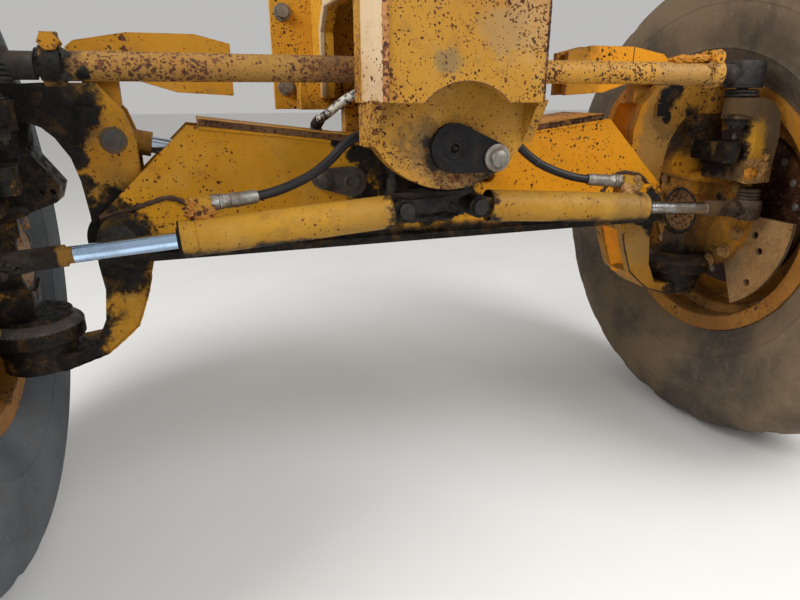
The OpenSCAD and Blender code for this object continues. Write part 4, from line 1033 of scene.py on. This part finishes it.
def makeNoseTrim():
    facts = noseTrim
    makePiece("retainerBoltHead", "frame", "pin_steel", "boltSteel",
              (addLathe, facts["boltHead"], facts["retainerBolt"], toFront, 40))
    x, y, z = facts["nipple"]
    makePiece("pivotNipple", "frame", "dark_steel", "retainerDark",
              (addLathe, facts["collar"], facts["nipple"], toFront, 36, True),
              (addHex, (x, y + 9, z), toFront, 11, 7), (addLathe, facts["tip"], facts["nipple"], toFront, 14))
    low, high = facts["weldZ"]
    for side, thick, finish in ((-1, 6.2, "flakingPaint"), (1, 2.6, "rustyEdge")):
        corner = [(side * facts["weldX"], facts["weldY"], low + (high - low) * k / 40) for k in range(41)]
        layBeads(sideNames[side][0] + "NoseCornerWeld", [corner], thick, "frame", finish, 3.4, 2)
    turns = [math.radians(-facts["archHalf"] + 2 * facts["archHalf"] * k / 30) for k in range(31)]
    arc = [(facts["archRadius"] * math.sin(a), facts["archY"],
            facts["archZ"] + facts["archRadius"] * math.cos(a)) for a in turns]
    layBeads("noseArchEdge", [arc], 1.6, "frame", "rustWeld", 5.0, 8)
    for side in (-1, 1):
        makeNoseSide(side)
    table = [((x, facts["frameBoltY"], z), toFront) for x, z in facts["frameBolts"]]
    setOnPoints("frameBoltHeads", lambda shape: addHex(shape, (0, 0, 0), toTop, 24, 13, washer=19), table,
                "frame", "boltSteel", 11)


makeNoseTrim()
print("nose trimmed")


# beam: weld beads, rusty top edge, pin retainer bolt, cylinder anchor's cover and grease, hose fitting
beamTrim = {
    "face": -81.0, "retainerBolt": (-216, -99, 798), "pinHole": (-154, -90.2, 790), "fitting": (-30, -62, 940),
    "leftBead": [(-628, 745), (-603, 750), (-580, 756), (-557, 762), (-536, 768), (-516, 774), (-504, 775),
                 (-490, 771), (-476, 762), (-463, 752)],
    "rightBead": [(452, 727), (460, 736), (466, 746), (472, 755), (480, 765), (492, 775), (505, 781), (524, 781),
                  (545, 777), (564, 772), (582, 757), (599, 739)],
    "topFlange": [(440, 900), (300, 884), (150, 864), (62, 860)],
    "flangeEdge": [(439.5, 903.2), (439.5, 915.2), (150, 879.4), (61, 874.2), (61, 862), (150, 867.4)],
    "boltHead": [(-8, 13), (-8, 17.6), (-7, 18.4), (-4.6, 18.4), (-4, 17.4), (-4, 12.8), (1, 12.8), (4, 11.6), (6, 9),
                 (7, 5), (7.2, 0)],
    "pinRing": [(-1, 8), (-1, 17), (0, 18), (1.6, 18), (2.4, 17), (2.6, 12), (1.2, 9.6), (-1, 8)],
    "cover": [(-58, 724), (58, 729), (60, 760), (-56, 754)], "anchorBolts": [(-37, 736), (45, 738)],
    "basePin": (78, -205, 745),
    "pinCap": [(0, 0), (0, 13.2), (-1, 14.8), (-4, 15.4), (-7, 15.4), (-8.4, 14), (-8.4, 0)],
    "lumps": [((-30, -128, 716), (26, 12, 9)), ((24, -130, 715), (34, 11, 8)), ((0, -100, 716), (60, 20, 7)),
              ((-62, -126, 722), (16, 10, 9)), ((66, -126, 724), (14, 9, 8))],
}


def makeBeamTrim():
    facts = beamTrim
    face = facts["face"]
    beads = [[(x, face, z) for x, z in facts[name]] for name in ("leftBead", "rightBead")]
    layBeads("doublerBeads", beads, 5.2, "axle", "darkRust", 5.0, 21)
    seams = []
    for side in (-1, 1):
        seams.append([(side * x, face + 0.5, z - 1) for x, z in facts["topFlange"]])
        seams.append([(side * x, face + 0.5, 674) for x in range(0, 636, 12)])
    layBeads("flangeBeads", seams, 3.6, "axle", "beamYellow", 5.0, 22)
    makePiece("topFlangeEdge", "axle", "yellow_paint", "rustyEdge",
              *[(addPlate, [(side * x, z) for x, z in facts["flangeEdge"]], -83.2, -81.4, facingFront, 0.5)
                for side in (-1, 1)])
    makePiece("basePinBolt", "axle", "pin_steel", "pinSteel",
              (addLathe, facts["boltHead"], facts["retainerBolt"], toFront, 32))
    makePiece("basePinRing", "axle", "dark_steel", "retainerGrey",
              (addLathe, facts["pinRing"], facts["pinHole"], toFront, 32))
    x, y, z = facts["basePin"]
    makePiece("anchorCover", "axle", "grease_black", "anchorGrease",
              (addPlate, facts["cover"], -141, -134.4, facingFront, 2),
              *[(addHex, (boltX, -140.6, boltZ), toFront, 13, 6) for boltX, boltZ in facts["anchorBolts"]],
              *[(addLathe, facts["pinCap"], (side * x, y, z), toRear, 28) for side in (-1, 1)])
    makePiece("anchorGreaseLumps", "axle", "grease_black", "anchorGrease",
              *[(addCrust, place, radii, seed + 1, 0.5) for seed, (place, radii) in enumerate(facts["lumps"])],
              smooth=70)
    x, y, z = facts["fitting"]
    makePiece("hoseFittingBase", "axle", "dark_steel", "zincSteel",
              (addHex, (x, y, z - 20), toTop, 26, 12), (addHex, (x, y, z - 2), toTop, 23, 11))


makeBeamTrim()
print("beam trimmed")


# yokes: the lean cylinder's pin head, stop faces, flange edges, kingpin caps and the right yoke's dished web
yokeTrim = {
    "pinHead": (588, -55.4, 879), "kingpin": (785, 972), "stop": ((605.5, -61.6, 906.5), (640.5, -59.4, 936.5)),
    "head": [(-1, 0), (-1, 23.6), (0.2, 23.6), (0.8, 22.6), (0.8, 21.6), (-0.6, 21), (-0.6, 20.2), (1.6, 19.4),
             (2, 18), (1.7, 0)],
    "edge": [(556, 624), (561, 604), (566, 586), (579, 552), (592, 520), (622, 494), (655, 468), (700, 454),
             (735, 443)],
    "cap": [(-6, 30), (-6, 47), (-4, 49), (6, 49), (9, 46), (11, 38), (16, 34), (17.5, 30), (18, 0)],
    # height and the flange's inner edge
    "upperWeb": [(769, 545), (800, 550), (840, 550), (880, 550), (905, 557), (937, 567)],
    "lowerWeb": [(499, 598), (520, 592), (560, 576), (586, 566), (606, 561), (631, 552)],
    "webDepths": (-33.5, -27, -19, -10, 0, 10, 19, 27, 33.5),
}


def makeYokeTrim(side):
    facts = yokeTrim
    word, letter = sideNames[side]
    body = "yoke_" + letter
    if side < 0:
        # the lean cylinder's pin comes through this yoke only
        x, y, z = facts["pinHead"]
        makePiece("leftYokePinHead", body, "pin_steel", "pinSteel",
                  (addLathe, facts["head"], (-x, y, z), toFront, 48))
    low, high = [(side * x, y, z) for x, y, z in facts["stop"]]
    makePiece(word + "StopFace", body, "dark_steel", "retainerDark", (addBlock, low, high, 1.4))
    layBeads(word + "YokeEdge", [[(side * x, -54.6, z) for x, z in facts["edge"]]], 2.4, body,
             "darkRust" if side > 0 else "leftYokePaint", 5.0, 31 + side)
    x, z = facts["kingpin"]
    makePiece(word + "KingpinCap", body, "greasy_yellow_paint", word + "YokePaint",
              (addLathe, facts["cap"], (side * x, 0, z), toTop, 40), (addHex, (side * x, 0, z + 17), toTop, 13, 8))


def makeYokeWeb(name, rows):
    shape = bmesh.new()
    grid = []
    for z, x in rows:
        line = [(x + 7 + 15 * (1 - (y / 33) ** 2), y) for y in yokeTrim["webDepths"]]
        back = [(a + 5, y) for a, y in line[::-1]]
        grid.append([shape.verts.new((a, y, z)) for a, y in line + back])
    bridge(shape, grid)
    shape.faces.new(grid[0])
    shape.faces.new(grid[-1][::-1])
    # the dished web's bright orange finish is painted sunlight
    finishPiece(name, shape, "yoke_r", "yellow_paint", "sunlitWebOrange", smooth=50)


makeYokeWeb("rightYokeUpperWeb", yokeTrim["upperWeb"])
makeYokeWeb("rightYokeLowerWeb", yokeTrim["lowerWeb"])
for side in (-1, 1):
    makeYokeTrim(side)
print("yokes trimmed")


# spindles: flange bolts, seals, end cap, rib, nut under the ball joint and dirt on the hook
spindleTrim = {
    "boltRadius": 143, "boltAngles": [196 + 24 * k for k in range(15)], "faceX": 842, "kingpinX": 785, "sealZ": 530,
    "capX": 778, "nut": (745, -165, 903.6), "cap": (770, -206, 784),
    "dome": [(-2, 60), (-2, 88), (0, 88), (4, 86), (9, 80), (13, 73), (17, 64), (18.5, 60)],
    "bodySeal": [(-2, 61.5), (0.4, 61.5), (2, 60), (2, 55), (0.6, 53.6), (-2, 53.6)],
    "bodyCap": [(-1, 53), (0.5, 53), (1.5, 50), (1.0, 30), (1.6, 16), (1.6, 0)],
    "nutRound": [(13, 0), (13, 15), (18, 15), (19, 14), (19, 0)],
    "rib": [(748, -42, 758), (764, -46, 758), (800, -46, 754), (836, -45, 749), (858, -42, 746)],
    "ribRadii": [8, 13, 13.5, 12, 7],
    "lumps": [((784, -205, 806), (24, 9, 10)), ((804, -205, 796), (15, 8, 13)), ((765, -206, 806), (14, 7, 8)),
              ((798, -206, 776), (13, 7, 14)), ((776, -207, 764), (24, 7, 5)), ((808, -204, 818), (10, 7, 9))],
}


def makeSpindleTrim(side):
    facts = spindleTrim
    word, letter = sideNames[side]
    body, inward = "spindle_" + letter, (-side, 0, 0)
    turns = [math.radians(angle) for angle in facts["boltAngles"]]
    spots = [place for place in aroundHub(side * facts["faceX"], facts["boltRadius"], turns) if abs(place[1]) > 56]
    setOnPoints(word + "FlangeBolts", lambda shape: addHex(shape, (0, 0, 0), toTop, 24, 12, washer=18),
                [(place, inward) for place in spots], body, "castDirt", 14 + side)
    makePiece(word + "SealDome", body, "grease_black", "sealGrease" if side < 0 else "brownGrease",
              (addLathe, facts["dome"], (side * facts["kingpinX"], 0, facts["sealZ"]), toTop, 56, True))
    cap = (side * facts["capX"], 0, wheelCentre["z"])
    makePiece(word + "BodySeal", body, "grease_black", "anchorGrease",
              (addLathe, facts["bodySeal"], cap, inward, 56, True))
    makePiece(word + "BodyCap", body, "rust_red_paint", "rustyCap", (addLathe, facts["bodyCap"], cap, inward, 48))
    makePiece(word + "BracketRib", body, "greasy_yellow_paint", word + "SpindlePaint",
              (addTube, [(side * x, y, z) for x, y, z in facts["rib"]], facts["ribRadii"], 16), smooth=60)
    x, y, z = facts["nut"]
    crown, half = [], Vector((3.4, 3.4, 3.5))
    for k in range(6):
        a = math.pi * k / 3 + math.pi / 6
        centre = Vector((side * x + 14 * math.cos(a), y + 14 * math.sin(a), z - 17))
        crown.append((addBlock, centre - half, centre + half, 1.0, Matrix.Rotation(a, 3, "Z")))
    makePiece(word + "BallNut", body, "grease_black", "ballGrease", (addHex, (side * x, y, z), toFloor, 38, 14),
              (addLathe, facts["nutRound"], (side * x, y, z), toFloor, 24), *crown)
    x, y, z = facts["cap"]
    makePiece(word + "HookCap", body, "yellow_paint", "brightOrange" if side > 0 else "leftSpindlePaint",
              (addCrust, (side * x, y, z), (19, 6, 17), 90, 0.3))
    makePiece(word + "HookDirt", body, "greasy_yellow_paint", "castDirt" if side > 0 else "anchorGrease",
              *[(addCrust, (side * x, y, z), radii, 7 * seed + side, 0.5)
                for seed, ((x, y, z), radii) in enumerate(facts["lumps"])], smooth=70)


for side in (-1, 1):
    makeSpindleTrim(side)
print("spindles trimmed")


# tie rod: clamp bolts, ball joint housing on the right, ribbed boots on the left and under the right end
tieTrim = {
    "boltX": 645, "boltY": (-177, -153), "boltZ": 1034, "ball": (745, -165), "housingRadius": 41,
    "housingZ": (971, 1027.4),
    "bootZ": 950, "lidZ": 1028, "leftBootZ": 975, "boltEnd": [(12, 0), (12, 7.6), (22, 7.6), (23.5, 6.4), (23.5, 0)],
    "lid": [(-2, 0), (-2, 38), (0.4, 38), (1.2, 36), (1.2, 0)],
    "leftBoot": [(0.4, 13), (0.4, 25), (1.6, 26), (3, 25.6), (4, 22), (5, 21.6), (6, 23), (7.4, 23), (8.4, 19.4),
                 (9.4, 19), (10.4, 20), (12, 19.6), (13, 17), (13, 13)],
    "clampDirt": [(628, -182, 1014, 8), (660, -184, 1012, 7), (630, -184, 984, 8), (659, -178, 1020, 7)],
    "crust": [(552, 1026, 20), (572, 1028, 22), (592, 1028, 18), (608, 1030, 22), (626, 1031, 16)],
}


def makeClamp(side):
    facts = tieTrim
    word = sideNames[side][0]
    front, back = facts["boltY"]
    x, z = side * facts["boltX"], facts["boltZ"]
    makePiece(word + "ClampBolt", "tie_rod", "yellow_paint", "brightOrange" if side > 0 else "machineYellow",
              (addHex, (x, front, z), toFront, 26, 13, 0, 0.3 + 0.22 * side), (addHex, (x, back, z), toRear, 24, 13),
              (addLathe, facts["boltEnd"], (x, back, z), toRear, 16))
    # split of the clamp
    makePiece(word + "ClampSlot", "tie_rod", "dark_steel", "retainerDark",
              (addBlock, (x - 11.4, -166.4, 1021), (x + 11.4, -163.6, 1048.6), 0.3))
    makePiece(word + "ClampDirt", "tie_rod", "grease_black", "castDirt" if side > 0 else "anchorGrease",
              *[(addCrust, (side * dirtX, y, dirtZ), (r, 5, r), seed + 3 * side, 0.6, 3)
                for seed, (dirtX, y, dirtZ, r) in enumerate(facts["clampDirt"])], smooth=70)


def ribsOf(count, first, step, rib):
    return [(first + step * k + lift, radius) for k in range(count) for lift, radius in rib]


def makeTieTrim():
    facts = tieTrim
    for side in (-1, 1):
        makeClamp(side)
    makePiece("rightRodCrust", "tie_rod", "yellow_paint", "brightOrange",
              *[(addCrust, (x, -165, z), (r, 13, r * 0.42), seed + 40, 0.4)
                for seed, (x, z, r) in enumerate(facts["crust"])], smooth=70)
    x, y = facts["ball"]
    low, high = facts["housingZ"]
    tall, r = high - low, facts["housingRadius"]
    wall = [(0, 38.2), (0, r - 1.6), (1.4, r - 0.6), (5, r), (6, r - 1), (7, r), (tall - 12, r), (tall - 7, r - 0.4),
            (tall - 2, r - 1.6), (tall, 38.2)]
    makePiece("rightBallHousing", "tie_rod", "black_rubber", "bootRubber",
              (addLathe, wall, (x, y, low), toTop, 64, True),
              (addLathe, facts["lid"], (x, y, facts["lidZ"]), toTop, 48), (addHex, (x, y, 1028.6), toTop, 12, 6))
    ribs = ribsOf(4, 2, 7.5, ((0, 39), (1.8, 43.5), (3.6, 44.5), (5.4, 43.5)))
    boot = [(0, 38.2), (0, 39)] + ribs + [(33, 39.5), (46, 41), (51, 40), (53, 38.2)]
    makePiece("leftBallBoot", "tie_rod", "black_rubber", "bootRubber",
              (addLathe, boot, (-x, y, facts["leftBootZ"]), toTop, 64, True),
              (addLathe, facts["lid"], (-x, y, facts["lidZ"]), toTop, 48))
    makePiece("leftTieBoot", "boot_l", "black_rubber", "bootRubber",
              (addLathe, facts["leftBoot"], (-x, y, facts["bootZ"]), toTop, 48, True), replaces=["tie_boot_left"])
    ribs = ribsOf(2, 0.6, 8.4, ((0, 31), (2.2, 35), (4.2, 36), (6.2, 35)))
    boot = [(0.5, 12.5), (0.5, 30)] + ribs[1:] + [(17.6, 31), (18.4, 29), (18.4, 12.5)]
    foot = (x, y, facts["bootZ"])
    boot = makePiece("rightTieBoot", "spindle_r", "black_rubber", "bootRubber",
                     (addLathe, boot, foot, toTop, 48, True))
    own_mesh(boot)


makeTieTrim()
print("tie rod trimmed")


# lean bar: joint line of its plates on the right, pin washers
barTrim = {
    "jointX": 545, "pin": (600, 1008),
    "joint": [((-30.6, 1022), (-28.9, 1061.6)), ((28.9, 1022), (30.6, 1061.6)), ((-30.4, 1060.8), (-15.6, 1062.6))],
    "washer": [(-1, 0), (-1, 25), (2.4, 25), (3.4, 24), (3.4, 15), (4.6, 14.4), (5, 12), (5, 0)],
}


def makeBarWashers(side):
    x, z = barTrim["pin"]
    makePiece(sideNames[side][0] + "BarWashers", "bar", "pin_steel", "machineYellow",
              *[(addLathe, barTrim["washer"], (side * x, 30 * way, z), (0, way, 0), 36) for way in (-1, 1)])


def makeBarTrim():
    makeBarWashers(-1)
    jointX = barTrim["jointX"]
    makePiece("rightBarJoint", "bar", "dark_steel", "darkRust",
              *[(addBlock, (jointX - 1.1, *low), (jointX + 1.1, *high), 0.4) for low, high in barTrim["joint"]])
    makeBarWashers(1)


makeBarTrim()
print("lean bar trimmed")


# steering cylinders: gland, wiper, port fitting with its crimped sleeve; lean cylinder the same way
cylinderTrim = {
    "steerBase": (78, -185, 745), "steerEye": (800, -185, 695), "steerGland": 414, "steerRadius": 32,
    "steerRod": 14.5,
    "leanBase": (-154, 0, 790), "leanEye": (-588, 0, 879), "leanGland": 320, "leanRadius": 35, "leanRod": 16,
    "portLift": 56, "portFace": 352, "portForward": 13, "eyeLift": 22, "footZ": 760,
    "portRing": [(0, 12), (0, 13.6), (1, 14.4), (5, 14.4), (6, 12.4), (10, 12.4), (10, 11.4)],
    "portDirt": [(358, 44, 8), (384, 64, 7), (386, 42, 9), (366, 35, 9), (392, 52, 6)],
    "eyePlates": [(-24, 24), (-22, 31), (-18, 33), (18, 33), (22, 31), (24, 24)],
    "nipple": [(0, 0), (0, 4), (5, 3.4), (7, 4.4), (9, 4.2), (11, 0)],
    "eyeDirt": [(-48, 4, 9), (-66, -6, 8), (-30, -14, 10), (-12, -18, 9), (8, -16, 10)],
    "footCollar": [(0.4, 12), (0.4, 21), (-1.4, 21.5), (-2.4, 20), (-2.4, 12)],
}


def addSleeve(shape, place, along, radius, rows):
    # rows: distance and what is added to the radius
    addLathe(shape, [(distance, radius + more) for distance, more in rows], place, along, 48, True)


def makeCylinderEnd(base, eye, at, radius, rodRadius, names, body, glandFinish):
    # the gland with its wiper, and the barrel's end collar with the scar of the lock wire
    along = (eye - base).normalized()
    place = base + along * at
    wiper = [(-1, rodRadius + 1), (-1, rodRadius + 8), (2.6, rodRadius + 7.4), (4.4, rodRadius + 4),
             (5.4, rodRadius + 1.4), (5, rodRadius + 0.8)]
    makePiece(names[0], body, "dark_steel", glandFinish,
              (addSleeve, place, along, radius, [(-1.6, -1.6), (-1.6, 1.9), (0.8, 1.7), (1.6, -0.4), (1.6, -1.6)]),
              (addLathe, wiper, place, along, 40, True))
    makePiece(names[1], body, "yellow_paint", "barrelYellow",
              (addSleeve, place, along, radius, [(-22, -0.6), (-21.4, 0.6), (-19, 1.2), (-2.4, 1.2), (-0.6, 0.4),
                                                 (0.2, -1.4), (0.2, -5), (-0.6, -6)]),
              (addSleeve, place, along, radius, [(-31, -0.4), (-30.4, 0.9), (-28.6, 0.9), (-28, -0.4)]))
    return along


def makeSteerTrim(side):
    facts = cylinderTrim
    word, letter = sideNames[side]
    base, eye = [Vector((side * x, y, z)) for x, y, z in (facts["steerBase"], facts["steerEye"])]
    body, rodBody = "steer_cylinder_" + letter, "steer_cylinder_rod_" + letter
    along = makeCylinderEnd(base, eye, facts["steerGland"], facts["steerRadius"], facts["steerRod"],
                            (word + "SteerGland", word + "SteerCollar"), body,
                            "retainerDark" if side < 0 else "anchorGrease")
    up = Vector(toRear).cross(along)
    up = up if up.z > 0 else -up
    # port fitting with the hose's crimped sleeve, and the dirt round it
    line = base + up * facts["portLift"] + Vector((0, facts["portForward"], 0))
    face = facts["portFace"]
    points = [Vector(p) for p in hoseRoutes["hose_" + word][:3]]
    sleeve = points[:2] + [points[1].lerp(points[2], t) for t in (0.35, 0.7, 1.0)]
    makePiece(word + "PortFitting", body, "dark_steel", "zincSteel" if side < 0 else "boltSteel",
              (addHex, line + along * (face + 0.5), -along, 27, 14),
              (addLathe, facts["portRing"], line + along * (face - 14), -along, 24, True),
              (addHex, line + along * (face - 20), -along, 24, 14),
              (addTube, sleeve, [13.4, 13.2, 12.6, 13.2, 11.4], 20))
    makePiece(word + "PortDirt", body, "yellow_paint", "castDirt" if side > 0 else "rustyPort",
              *[(addCrust, base + along * x + up * z + Vector((0, -4, 0)), (r * 1.4, 4, r), seed + 50, 0.45, 4)
                for seed, (x, z, r) in enumerate(facts["portDirt"])], smooth=70)
    # rod: eye plates, grease nipple and dirt, then the rubber on the pin: a boot and a collar under the hook's foot
    finish = "eyeGrease" if side < 0 else "brownGrease"
    makePiece(word + "RodEye", rodBody, "greasy_yellow_paint", finish,
              (addLathe, facts["eyePlates"], eye, up, 40, True),
              (addHex, eye + Vector((-side * 38, -18, 4)), toFront, 15, 6),
              (addLathe, facts["nipple"], eye + Vector((-side * 20, -27, 6)), (0, -1, 0.2), 12),
              *[(addCrust, eye + Vector((side * x, -20, z)), (r * 1.3, 6, r * 0.8), seed + 60, 0.6, 3)
                for seed, (x, z, r) in enumerate(facts["eyeDirt"])], smooth=45)
    ribs = ribsOf(3, 1, 8.6, ((0, 20), (2.2, 25), (4.4, 26), (6.6, 25)))
    boot = [(0, 14), (0, 20)] + ribs + [(27, 20), (28, 21), (28, 14)]
    lift = facts["eyeLift"]
    boot = makePiece(word + "EyeBoot", rodBody, "black_rubber", finish,
                     (addLathe, boot, eye + Vector((0, 0, lift)), toTop, 40, True))
    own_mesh(boot)
    makePiece(word + "FootCollar", "spindle_" + letter, "black_rubber", finish,
              (addLathe, facts["footCollar"], (eye.x, eye.y, facts["footZ"]), toTop, 40, True))


def makeLeanTrim():
    facts = cylinderTrim
    makeCylinderEnd(Vector(facts["leanBase"]), Vector(facts["leanEye"]), facts["leanGland"], facts["leanRadius"],
                    facts["leanRod"], ("leanGland", "leanCollar"), "lean_cylinder", "retainerDark")
    points = [Vector(p) for p in hoseRoutes["hose_lean"]]
    first = (points[1] - points[0]).normalized()
    makePiece("leanPortFitting", "lean_cylinder", "dark_steel", "zincSteel",
              (addHex, points[0] - first * 22, first, 26, 10), (addHex, points[0] - first * 10, first, 23, 9))
    makePiece("leanHoseCollar", "axle", "black_rubber", "bootRubber",
              (addTube, [points[2], points[2].lerp(points[3], 0.5), points[3]], [11.6, 12, 11], 20))
    sleeve = [13, 13, 12.6, 11]
    makePiece("leanHoseSleeves", "axle", "dark_steel", "zincSteel",
              (addTube, [points[0], points[1], points[1].lerp(points[2], 0.6), points[2]], sleeve, 20),
              (addTube, points[:-5:-1], sleeve, 20))


for side in (-1, 1):
    makeSteerTrim(side)
makeLeanTrim()
print("cylinders trimmed")
